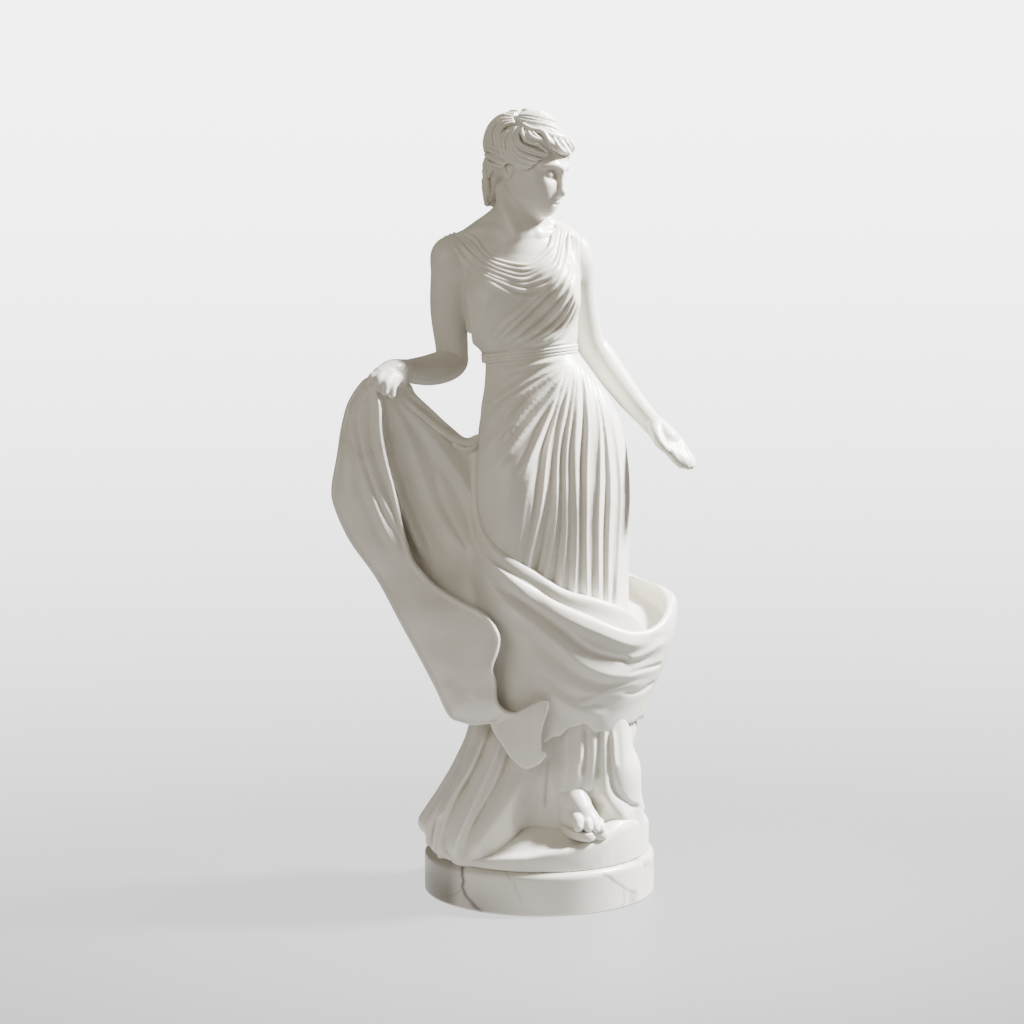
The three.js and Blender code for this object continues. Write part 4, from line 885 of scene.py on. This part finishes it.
def wrap(p):
    x, y, z = p.T
    angle = angle_round(p)
    degrees = np.degrees(angle)
    facing = ramp(-y, -6, 30)
    droop = 0.8 * np.cos(angle * 5 + z * 0.03) + 0.4 * np.cos(angle * 11 - z * 0.014)
    sag = (1 - facing) * 6.5 * droop

    inner = join(INNER_WRAP(p), INNER_THIGH(p), 16) - 0.5 * sag
    inner = common(inner, (z - INNER_TOP(degrees)) * 0.72, 9)
    outer = join(OUTER_WRAP(p), OUTER_THIGH(p), 16) - facing * WRAP_FOLDS(x, z) - sag
    lip = OUTER_TOP(degrees)
    bowl = common(OUTER_WRAP(p) + 10, (lip - 28 - z) * 0.8, 12)
    bowl = common(bowl, np.abs(degrees - 84) * 1.6 - 62, 12)
    outer = common(outer, (z - lip) * 0.75, 7)
    outer = without(outer, bowl, 5)
    wave = 1.6 * np.cos(angle * 19) + 1.2 * np.cos(angle * 31 + 1)
    return common(join(outer, inner, 2), (HEM(degrees) - z) * 0.85 + wave, 4)


SAIL_OUTER = [(-226, 644), (-249, 617), (-261, 583), (-268, 541), (-275, 499), (-272, 474), (-253, 430),
              (-217, 378), (-179, 309), (-141, 239), (-122, 199), (-106, 190), (-86, 186), (-60, 190)]
SAIL_INNER = [(-20, 176), (0, 250), (-10, 330), (-20, 400), (-40, 480), (-60, 552), (-81, 566), (-99, 561),
              (-119, 577), (-144, 601), (-165, 622), (-172, 635), (-200, 642)]
BORDER_EDGE = [(-46, 198), (-32, 207), (-45, 211), (-56, 224), (-58, 250), (-62, 267), (-54, 290),
               (-53, 309), (-63, 328), (-79, 341), (-105, 353), (-137, 372), (-152, 387), (-168, 408),
               (-178, 440), (-188, 485), (-199, 530), (-207, 575), (-209, 619)]
LOWER_LOBE = [(-65, 192), (-40, 204), (-10, 220), (3, 226), (13, 221), (7, 203), (2, 180), (2, 160), (8, 152),
              (0, 140), (-18, 131), (-36, 142), (-53, 166)]


def outline(places):
    return outline_reach(through(places, 4, True))


SAIL_REACH = outline(SAIL_OUTER + SAIL_INNER)
BORDER_REACH = outline(SAIL_OUTER + BORDER_EDGE)
LOBE_REACH = outline(LOWER_LOBE)
SAIL_DEPTH = depth_field([
    (-222, 632, -84), (-175, 630, -58), (-140, 590, -40), (-95, 560, -18), (-70, 540, -10),
    (-272, 480, -70), (-210, 540, -62), (-160, 520, -40), (-110, 470, -42), (-230, 410, -70),
    (-170, 400, -58), (-110, 380, -64), (-60, 380, -84), (-180, 310, -78), (-120, 290, -80),
    (-50, 290, -98), (-130, 215, -86), (-70, 210, -98), (-20, 220, -110),
])
SAIL_FOLDS = folds([
    ([(-226, 636), (-249, 610), (-246, 577), (-239, 542), (-226, 500), (-203, 443), (-176, 402)], 5.5, 8),
    ([(-222, 636), (-234, 599), (-231, 560), (-220, 518), (-206, 480), (-182, 430)], 5, 7),
    ([(-217, 634), (-214, 594), (-210, 552), (-198, 516), (-186, 479), (-166, 432), (-150, 400)], 5, 8),
    ([(-205, 622), (-174, 562), (-151, 497), (-122, 440), (-80, 392)], 9, 4),
    ([(-192, 616), (-144, 562), (-92, 483), (-66, 404)], 9, 4),
    ([(-184, 620), (-150, 588), (-122, 566), (-96, 553), (-80, 557)], 4, 5),
    ([(-170, 600), (-140, 576), (-112, 552), (-88, 546)], 4, -4),
    ([(-120, 556), (-98, 547), (-82, 553)], 3, 4),
    ([(-88, 540), (-84, 480), (-76, 430), (-56, 390), (-20, 352)], 6, 6),
    ([(-94, 520), (-92, 470), (-82, 424), (-58, 380)], 4, -3),
    ([(-140, 520), (-110, 450), (-70, 380), (-30, 330)], 10, 3),
])
BORDER_LIFT = 30


def border_depth():
    inside = np.maximum(-SAIL_REACH, 0)
    ripples = folds([
        ([(-250, 452), (-214, 424), (-180, 408), (-150, 404)], 14, 1.6),
        ([(-226, 396), (-180, 372), (-130, 372)], 14, -1.6),
        ([(-190, 350), (-140, 338), (-90, 342), (-50, 352)], 16, 2.6),
        ([(-170, 312), (-120, 300), (-70, 296), (-30, 300)], 16, -2.4),
        ([(-150, 276), (-110, 270), (-60, 270), (-30, 270)], 15, 2.4),
        ([(-130, 238), (-96, 236), (-60, 240), (-30, 240)], 13, -2.2),
        ([(-116, 178), (-112, 214), (-118, 250)], 9, 4),
        ([(-90, 176), (-88, 210), (-92, 236)], 8, -3),
        ([(-64, 180), (-60, 214), (-50, 232)], 9, 3),
    ])
    rim = 2.2 * np.exp(-((BORDER_REACH + 3.5) / 3.0) ** 2)
    return SAIL_DEPTH - 0.5 * SAIL_FOLDS - BORDER_LIFT * (1 - np.exp(-inside / 20)) - ripples - rim


SAIL_SURFACE = SAIL_DEPTH - SAIL_FOLDS
BORDER_SURFACE = border_depth()
LOBE_SURFACE = SAIL_DEPTH - 12 - 7 * np.exp(-((PLANE_X + 18) / 30) ** 2) - 8 * ramp(PLANE_X, -14, 10)


def sheet_of(reach, surface, half):
    rise_z, rise_x = np.gradient(surface, STEP)
    steep = chart(np.sqrt(1 + rise_x ** 2 + rise_z ** 2))
    edge, depth = chart(reach), chart(surface)

    def form(p):
        x, y, z = p.T
        beyond = edge(x, z)
        through_it = np.abs(y - depth(x, z)) / steep(x, z) - half
        return common(through_it, beyond, 4)
    return form


SAIL = sheet_of(SAIL_REACH, SAIL_SURFACE, 5.0)
BORDER = sheet_of(BORDER_REACH, BORDER_SURFACE, 4.6)
LOBE = sheet_of(LOBE_REACH, LOBE_SURFACE, 4.6)


def mantle(p):
    x, y, z = p.T
    form = np.full(len(p), 40, np.float32)
    legs = z < 600
    form[legs] = wrap(p[legs])
    sail = (x < 45) & (z < 670) & (z > 110) & (y < 40)
    q = p[sail]
    form[sail] = join(form[sail], grown(SAIL(q), q, (BORDER, 3), (LOBE, 2.5)), 6)
    return form


# The feet and the mound

FOOT_PARTS = [
    limb([(38, -76, 98), (45, -93, 87), (54, -108, 74)], (23, 20.5, 15.5), 8),
    limb([(45, -88, 64), (58, -107, 61), (65, -114, 59)], (20, 19, 15), 8),
]
TOES = [
    limb([(47, -114, 68), (49, -125, 64), (50, -131, 57)], (9, 8.6, 7)),
    limb([(60, -116, 66), (62, -126, 61), (63, -131, 55)], (7.5, 7, 5.8)),
    limb([(70, -115, 63), (72, -124, 58), (73, -128, 53)], (6.8, 6.2, 5.2)),
    limb([(78, -112, 59), (80, -120, 55), (81, -124, 51)], (6, 5.4, 4.6)),
]
SANDAL = [
    limb([(42, -86, 46), (54, -112, 45), (60, -126, 44)], (16, 18, 13), 8),
    limb([(56, -88, 46), (72, -110, 45), (78, -118, 44)], (14, 14, 11), 8),
]
STRAPS = [
    limb([(28, -96, 72), (37, -112, 86), (54, -121, 85), (74, -116, 74), (84, -104, 60)],
         (4, 4.8, 5, 4.8, 4), 8),
    limb([(26, -86, 92), (41, -104, 104), (58, -108, 100), (76, -100, 88)], (3.6, 4.2, 4.2, 3.8), 8),
    limb([(70, -100, 92), (79, -103, 88), (85, -101, 80)], (4.5, 5.5, 4.5), 6),
]
MOUND_TOP = ellipsoid((6, -18, 14), (126, 116, 42))
MOUND_SIDE = ellipsoid((90, -56, 14), (66, 66, 52))


def bare_foot(p):
    return grown(FOOT_PARTS[0](p), p, (FOOT_PARTS[1], 6), *((toe, 1.6) for toe in TOES))


def sandal(p):
    form = join(SANDAL[0](p), SANDAL[1](p), 3)
    form = common(form, np.abs(p[:, 2] - 44) - 6, 2)
    return grown(form, p, *((strap, 2) for strap in STRAPS))


def mound(p):
    x, y, z = p.T
    beside = np.hypot(x, y) - MOUND_RADIUS
    rock = 1.2 * np.cos(x * 0.05 + 1) * np.cos(y * 0.06) + 0.7 * np.cos(x * 0.11 - y * 0.08)
    form = join(z - RIM - np.clip(0.16 * (x - 10), -14, 14), MOUND_TOP(p), 14)
    form = join(form, MOUND_SIDE(p), 18) - rock * ramp(z, 10, 30)
    form = common(beside, form, 9)
    return common(form, -z, 1)


def skin(p):
    form = np.full(len(p), 60, np.float32)
    high = p[:, 2] > 600
    q = p[high]
    body = common(torso(q) + 1.8, 700 - q[:, 2], 4)
    body = without(grown(body, q, (NECK, 16), (CORDS, 11)), PIT(q), 8)
    form[high] = join(body, bare_head(q), 6)
    return grown(form, p, (RIGHT_ARM, 9), (LEFT_ARM, 8), (RIGHT_HAND, 4), (LEFT_HAND, 4))


def cords_of_neck():
    chest = joined([torso, NECK], 12)
    parts = []
    for line, size in (([(-48, 834), (-78, 837), (-104, 832)], 4.4), ([(-2, 832), (18, 832), (40, 830)], 4)):
        parts.append(limb(facing_depth(chest, line, 3), (size * 0.7, size, size * 0.6), 8))
    parts.append(limb([(-52, -4, 892), (-47, -17, 862), (-32, -27, 834)], (8, 6.5, 4), 8))
    return joined(parts, 6)


CORDS = cords_of_neck()
PIT = ellipsoid((-22, -45, 830), (5, 6, 6))

# Materials

PAINTED_SHADE_TINT = (0.72, 0.66, 0.56)  # painted shade in hollows: share of the shade colour's red, green and blue kept there
# Painted highlight: the colour laid on the crests of the mesh.
PAINTED_HIGHLIGHT_COLOUR = (0.82, 0.80, 0.76)


def new_material(name):
    material = bpy.data.materials.new(name)
    material.use_nodes = True
    nodes, links = material.node_tree.nodes, material.node_tree.links
    return material, nodes, links, nodes["Principled BSDF"]


def set_inputs(node, **values):
    for key, value in values.items():
        node.inputs[key.replace("_", " ")].default_value = value


def remapped(nodes, links, source, interpolation, **values):
    made = nodes.new("ShaderNodeMapRange")
    made.interpolation_type = interpolation
    set_inputs(made, **values)
    links.new(source, made.inputs["Value"])
    return made.outputs["Result"]


def marble(name, ground, shade, vein, strength, vein_scale, roughness, shade_and_stain=None):
    """Polished marble: cloudy ground, thin wandering veins, painted shade in the hollows, painted highlight
    on the crests, fine grain.
    """
    material, nodes, links, shader = new_material(name)

    def node(kind, **inputs):
        made = nodes.new(kind)
        set_inputs(made, **inputs)
        return made

    def noise(at, **inputs):
        made = node("ShaderNodeTexNoise", **inputs)
        links.new(at, made.inputs["Vector"])
        return made.outputs

    def ramped(source, stops):
        made = nodes.new("ShaderNodeValToRGB")
        links.new(source, made.inputs["Fac"])
        elements = made.color_ramp.elements
        for element, (position, value) in zip(elements, stops):
            element.position = position
            element.color = (value, value, value, 1)
        for position, value in stops[2:]:
            elements.new(position).color = (value, value, value, 1)
        return made.outputs["Color"]

    def mixed(factor, a, b, kind="MIX"):
        made = nodes.new("ShaderNodeMix")
        made.data_type = "RGBA"
        made.blend_type = kind
        for socket, value in ((made.inputs["Factor"], factor), (made.inputs["A"], a), (made.inputs["B"], b)):
            if isinstance(value, bpy.types.NodeSocket):
                links.new(value, socket)
            elif isinstance(value, float):
                socket.default_value = value
            else:
                socket.default_value = (*value, 1)
        return made.outputs["Result"]

    def weaker(source, share):
        return mixed(1.0, source, (share,) * 3, "MULTIPLY")

    place = nodes.new("ShaderNodeTexCoord").outputs["Object"]
    warp = noise(place, Scale=vein_scale * 0.8, Detail=5, Roughness=0.6)
    bend = node("ShaderNodeVectorMath")
    bend.operation = "MULTIPLY"
    bend.inputs[1].default_value = (0.55 / vein_scale,) * 3
    links.new(warp["Color"], bend.inputs[0])
    moved = node("ShaderNodeVectorMath")
    links.new(place, moved.inputs[0])
    links.new(bend.outputs["Vector"], moved.inputs[1])
    bent = moved.outputs["Vector"]

    cloud = noise(bent, Scale=3.2, Detail=4, Roughness=0.55)
    lines = noise(bent, Scale=vein_scale, Detail=3, Roughness=0.5)
    where = noise(place, Scale=vein_scale * 0.7, Detail=2)
    vein_mask = ramped(lines["Fac"], [(0.485, 0.0), (0.5, 1.0), (0.515, 0.0)])
    spread = ramped(where["Fac"], [(0.48, 0.0), (0.62, 1.0)])
    amount = weaker(mixed(1.0, vein_mask, spread, "MULTIPLY"), strength)

    clouds = ramped(cloud["Fac"], [(0.3, 0.0), (0.7, 1.0)])
    colour = mixed(amount, mixed(clouds, shade, ground), vein)
    # Brown painted shade and stain, and the veins, laid on the mesh as colour.
    if shade_and_stain:
        for attribute, tone in (("shade_and_stain", shade_and_stain), ("vein", vein)):
            laid = nodes.new("ShaderNodeAttribute")
            laid.attribute_name = attribute
            colour = mixed(laid.outputs["Fac"], colour, tone)
    curved = nodes.new("ShaderNodeNewGeometry").outputs["Pointiness"]
    # Painted shade: hollows of the mesh, found from its curvature, are darkened with a warm tint.
    painted_shade = ramped(curved, [(0.42, 1.0), (0.5, 0.0)])
    # Painted highlight: crests of the mesh, found from its curvature, are paled.
    edge = ramped(curved, [(0.51, 0.0), (0.58, 1.0)])
    colour = mixed(weaker(painted_shade, 0.75), colour, tuple(c * f for c, f in zip(shade, PAINTED_SHADE_TINT)))
    colour = mixed(weaker(edge, 0.4), colour, PAINTED_HIGHLIGHT_COLOUR)
    links.new(colour, shader.inputs["Base Color"])

    grain = noise(place, Scale=420.0, Detail=3)
    polish = noise(place, Scale=9.0, Detail=5)
    wear = remapped(nodes, links, polish["Fac"], "LINEAR", To_Min=roughness - 0.06, To_Max=roughness + 0.1)
    links.new(wear, shader.inputs["Roughness"])
    bump = node("ShaderNodeBump", Strength=0.12, Distance=0.0006)
    links.new(grain["Fac"], bump.inputs["Height"])
    links.new(bump.outputs["Normal"], shader.inputs["Normal"])
    set_inputs(shader, Specular_IOR_Level=0.42, Subsurface_Weight=0.12, Subsurface_Scale=0.012,
               Subsurface_Radius=(1.0, 0.9, 0.75))
    return material


WHITE = marble("white_marble", (0.73, 0.71, 0.65), (0.64, 0.61, 0.54), (0.38, 0.34, 0.28), 0.2, 2.2, 0.34)
# The veined marble's last colour is the brown of the painted shade and stain on the drum.
VEINED = marble("veined_marble", (0.62, 0.60, 0.54), (0.5, 0.47, 0.41), (0.12, 0.095, 0.08), 0.5, 4.6, 0.28,
                (0.105, 0.088, 0.06))

# Pieces


def stands_for(piece, node, material):
    piece.data.materials.clear()
    piece.data.materials.append(material)
    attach(piece, "root")
    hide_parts(node)


DRUM_AROUND = 640
DRUM_RINGS = 24
ROUNDING_STEPS = 8
# Long veins round the drum, as (width, darkness, places): degrees from the front, share of the height
DRUM_VEINS = [
    (0.005, 1.0, [(-41.5, 1.0), (-40.2, 0.5), (-36.4, 0.23), (-29.2, 0.0)]),
    (0.0016, 0.6, [(-40.2, 0.5), (-46, 0.3), (-58, 0.12)]),
    (0.0016, 0.35, [(-17.7, 1.0), (-12.5, 0.72), (-9, 0.4)]),
    (0.0028, 0.75, [(32, 0.89), (36.3, 0.78), (43.5, 0.54), (49.3, 0.35), (54.1, 0.28)]),
    (0.0018, 0.6, [(43.5, 0.54), (46, 0.17), (43.5, 0.0)]),
    (0.0018, 0.6, [(50.5, 0.34), (53, 0.0)]),
    (0.0022, 0.6, [(96, 1.0), (104, 0.6), (118, 0.3), (124, 0.0)]),
    (0.003, 0.7, [(168, 1.0), (160, 0.5), (148, 0.2), (142, 0.0)]),
    (0.0018, 0.5, [(160, 0.5), (176, 0.3), (188, 0.05)]),
    (0.0024, 0.6, [(232, 1.0), (240, 0.6), (252, 0.4), (262, 0.0)]),
]


def drum_paint(points):
    """How much vein and how much brown painted shade and stain each point of the drum carries."""
    x, y, z = np.array(points).T
    degrees = np.degrees(np.arctan2(x, -y))
    share = z / PLINTH_HEIGHT
    vein = np.zeros(len(x))
    for width, darkness, places in DRUM_VEINS:
        places = through(places, 6)
        turned = degrees + 360 * (degrees < places[:, 0].min() - 90)
        arc, up = np.radians(turned) * PLINTH_RADIUS, share * PLINTH_HEIGHT
        wobble = 0.0022 * np.sin(up * 130 + places[0, 0]) + 0.0012 * np.sin(up * 310 + 2 * places[0, 0])
        path = np.stack([np.radians(places[:, 0]) * PLINTH_RADIUS, places[:, 1] * PLINTH_HEIGHT], 1)
        away, _ = line_reach(path, arc + wobble, up)
        vein = np.maximum(vein, darkness * np.exp(-(away / width) ** 2))
    # Painted shade in brown on the drum's left side, away from the key lamp; a thin brown band low on the
    # right near 52 degrees, and brown on the front left, darker towards the bottom.
    left = ramp(-degrees, 36, 52) * ramp(-degrees, 170, 110)
    shade_and_stain = left * (0.62 + 0.3 * ramp(share, 0.9, 0.2))
    shade_and_stain = np.maximum(shade_and_stain, 0.3 * ramp(np.abs(degrees - 52.5), 5, 2.5) * ramp(share, 0.5, 0.2))
    shade_and_stain = np.maximum(shade_and_stain, 0.45 * ramp(-degrees, 0, 34) * ramp(share, 1.0, 0.1))
    return {"vein": vein, "shade_and_stain": shade_and_stain}


def circle(radius, z, steps):
    return [(radius * math.cos(2 * math.pi * n / steps), radius * math.sin(2 * math.pi * n / steps), z)
            for n in range(steps)]


def plinth():
    """A drum with a rounded shoulder, turned in fine steps, with a small bevel at its foot."""
    radius, height = PLINTH_RADIUS, PLINTH_HEIGHT
    rounding, bevel = height * 0.156, height * 0.034
    profile = [(0.0, 0.0), (radius - bevel, 0.0)]
    profile += [(radius, rise) for rise in np.linspace(bevel, height - rounding, DRUM_RINGS).tolist()]
    for n in range(1, ROUNDING_STEPS + 1):
        turn = math.radians(90 * n / ROUNDING_STEPS)
        profile.append((radius - rounding * (1 - math.cos(turn)), height - rounding * (1 - math.sin(turn))))
    profile.append((0.0, height))
    around = DRUM_AROUND
    points = [(0, 0, 0)]
    for r, z in profile[1:-1]:
        points += circle(r, z, around)
    points.append((0, 0, height))
    rings = len(profile) - 2
    faces = []
    for n in range(around):
        after = (n + 1) % around
        faces.append((0, 1 + after, 1 + n))
        for ring in range(rings - 1):
            low = 1 + ring * around
            faces.append((low + n, low + after, low + around + after, low + around + n))
        top = 1 + (rings - 1) * around
        faces.append((top + n, top + after, len(points) - 1))
    mesh = bpy.data.meshes.new("plinth_drum")
    mesh.from_pydata(points, [], faces)
    mesh.update()
    for attribute, amounts in drum_paint(points).items():
        painted = mesh.attributes.new(attribute, "FLOAT", "POINT")
        painted.data.foreach_set("value", amounts.astype(np.float32))
    piece = shown("plinth_drum", mesh)
    mesh.polygons.foreach_set("use_smooth", np.ones(len(mesh.polygons), bool))
    mesh.set_sharp_from_angle(angle=math.radians(35))
    return piece


def statue_pieces():
    yield carved("statue_hair", hair, (-72, -92, -86), (72, 86, 96), 0.85, 165000, out_of_head)
    yield carved("statue_skin", skin, (-245, -120, 510), (220, 110, 1000), 1.25, 145000)
    yield carved("statue_bodice", bodice, (-140, -80, 645), (85, 80, 860), 1.1, 125000)
    yield carved("statue_skirt", skirt, (-180, -150, -6), (165, 130, 690), 1.6, 170000)
    yield carved("statue_mantle", mantle, (-300, -175, 100), (200, 140, 670), 1.5, 190000)
    yield carved("statue_mound", mound, (-160, -160, -10), (160, 160, 70), 2.0, 36000)
    yield carved("statue_foot", bare_foot, (0, -160, 20), (110, -30, 150), 1.2, 22000)
    yield carved("statue_sandal", sandal, (0, -165, 20), (115, -30, 150), 1.2, 20000)


# The studio

KEY_WATTS = 4100
FILL_WATTS = 130
AMBIENT = 0.28
FLOOR_GLOW = 1.2
BACKDROP = (1.45, 7.2)  # strength of the backdrop below and above
CAMERA_PLACE = (-0.0594, -4.896, 1.302)
CAMERA_PITCH = 84.4
LENS = 80.3


def floor():
    """A pale round floor whose edge melts into the backdrop, so that no horizon shows from any side."""
    ring = circle(6.0, 0, 96)
    mesh = bpy.data.meshes.new("studio_floor")
    mesh.from_pydata(ring, [], [tuple(range(len(ring)))])
    disc = shown("studio_floor", mesh)
    material, nodes, links, shader = new_material("studio_grey")
    set_inputs(shader, Base_Color=(0.05, 0.05, 0.05, 1), Roughness=0.5, Emission_Color=(1, 1, 1, 1),
               Emission_Strength=FLOOR_GLOW)
    place = nodes.new("ShaderNodeTexCoord").outputs["Object"]
    away = nodes.new("ShaderNodeVectorMath")
    away.operation = "LENGTH"
    links.new(place, away.inputs[0])
    fade = remapped(nodes, links, away.outputs["Value"], "SMOOTHERSTEP",
                    From_Min=0.4, From_Max=1.6, To_Min=1.0, To_Max=0.0)
    links.new(fade, shader.inputs["Alpha"])
    mesh.materials.append(material)


def lamp(name, place, aim, size, watts, colour):
    light = bpy.data.lights.new(name, "AREA")
    light.shape = "SQUARE"
    light.size = size
    light.energy = watts
    light.color = colour
    stand = shown(name, light)
    stand.location = place
    stand.rotation_euler = (Vector(aim) - Vector(place)).to_track_quat("-Z", "Y").to_euler()


def lights():
    """One strong lamp high on the right, a weak warm fill, and a pale backdrop that is lighter higher up."""
    aim = (0, 0, 1.0)
    lamp("key", (4.3, 0.8, 5.0), aim, 0.8, KEY_WATTS, (1.0, 1.0, 0.99))
    lamp("fill", (-4.0, -5.0, 3.0), aim, 3.5, FILL_WATTS, (1.0, 0.94, 0.84))
    world = bpy.data.worlds.new("studio")
    bpy.context.scene.world = world
    world.use_nodes = True
    nodes, links = world.node_tree.nodes, world.node_tree.links
    ambient = nodes["Background"]
    set_inputs(ambient, Color=(1.0, 0.92, 0.80, 1), Strength=AMBIENT)
    way = nodes.new("ShaderNodeSeparateXYZ")
    links.new(nodes.new("ShaderNodeTexCoord").outputs["Generated"], way.inputs[0])
    rise = remapped(nodes, links, way.outputs["Z"], "SMOOTHSTEP",
                    From_Min=-0.32, From_Max=0.14, To_Min=BACKDROP[0], To_Max=BACKDROP[1])
    backdrop = nodes.new("ShaderNodeBackground")
    links.new(rise, backdrop.inputs["Strength"])
    seen = nodes.new("ShaderNodeMixShader")
    links.new(nodes.new("ShaderNodeLightPath").outputs["Is Camera Ray"], seen.inputs[0])
    links.new(ambient.outputs[0], seen.inputs[1])
    links.new(backdrop.outputs[0], seen.inputs[2])
    links.new(seen.outputs[0], nodes["World Output"].inputs["Surface"])


def camera():
    eye = bpy.data.cameras.new("camera")
    eye.sensor_width = 36
    eye.lens = LENS
    stand = shown("camera", eye)
    stand.location = CAMERA_PLACE
    stand.rotation_euler = (math.radians(CAMERA_PITCH), 0, 0)
    bpy.context.scene.camera = stand


camera()
for part in statue_pieces():
    stands_for(part, "statue", WHITE)
stands_for(plinth(), "plinth", VEINED)
floor()
lights()
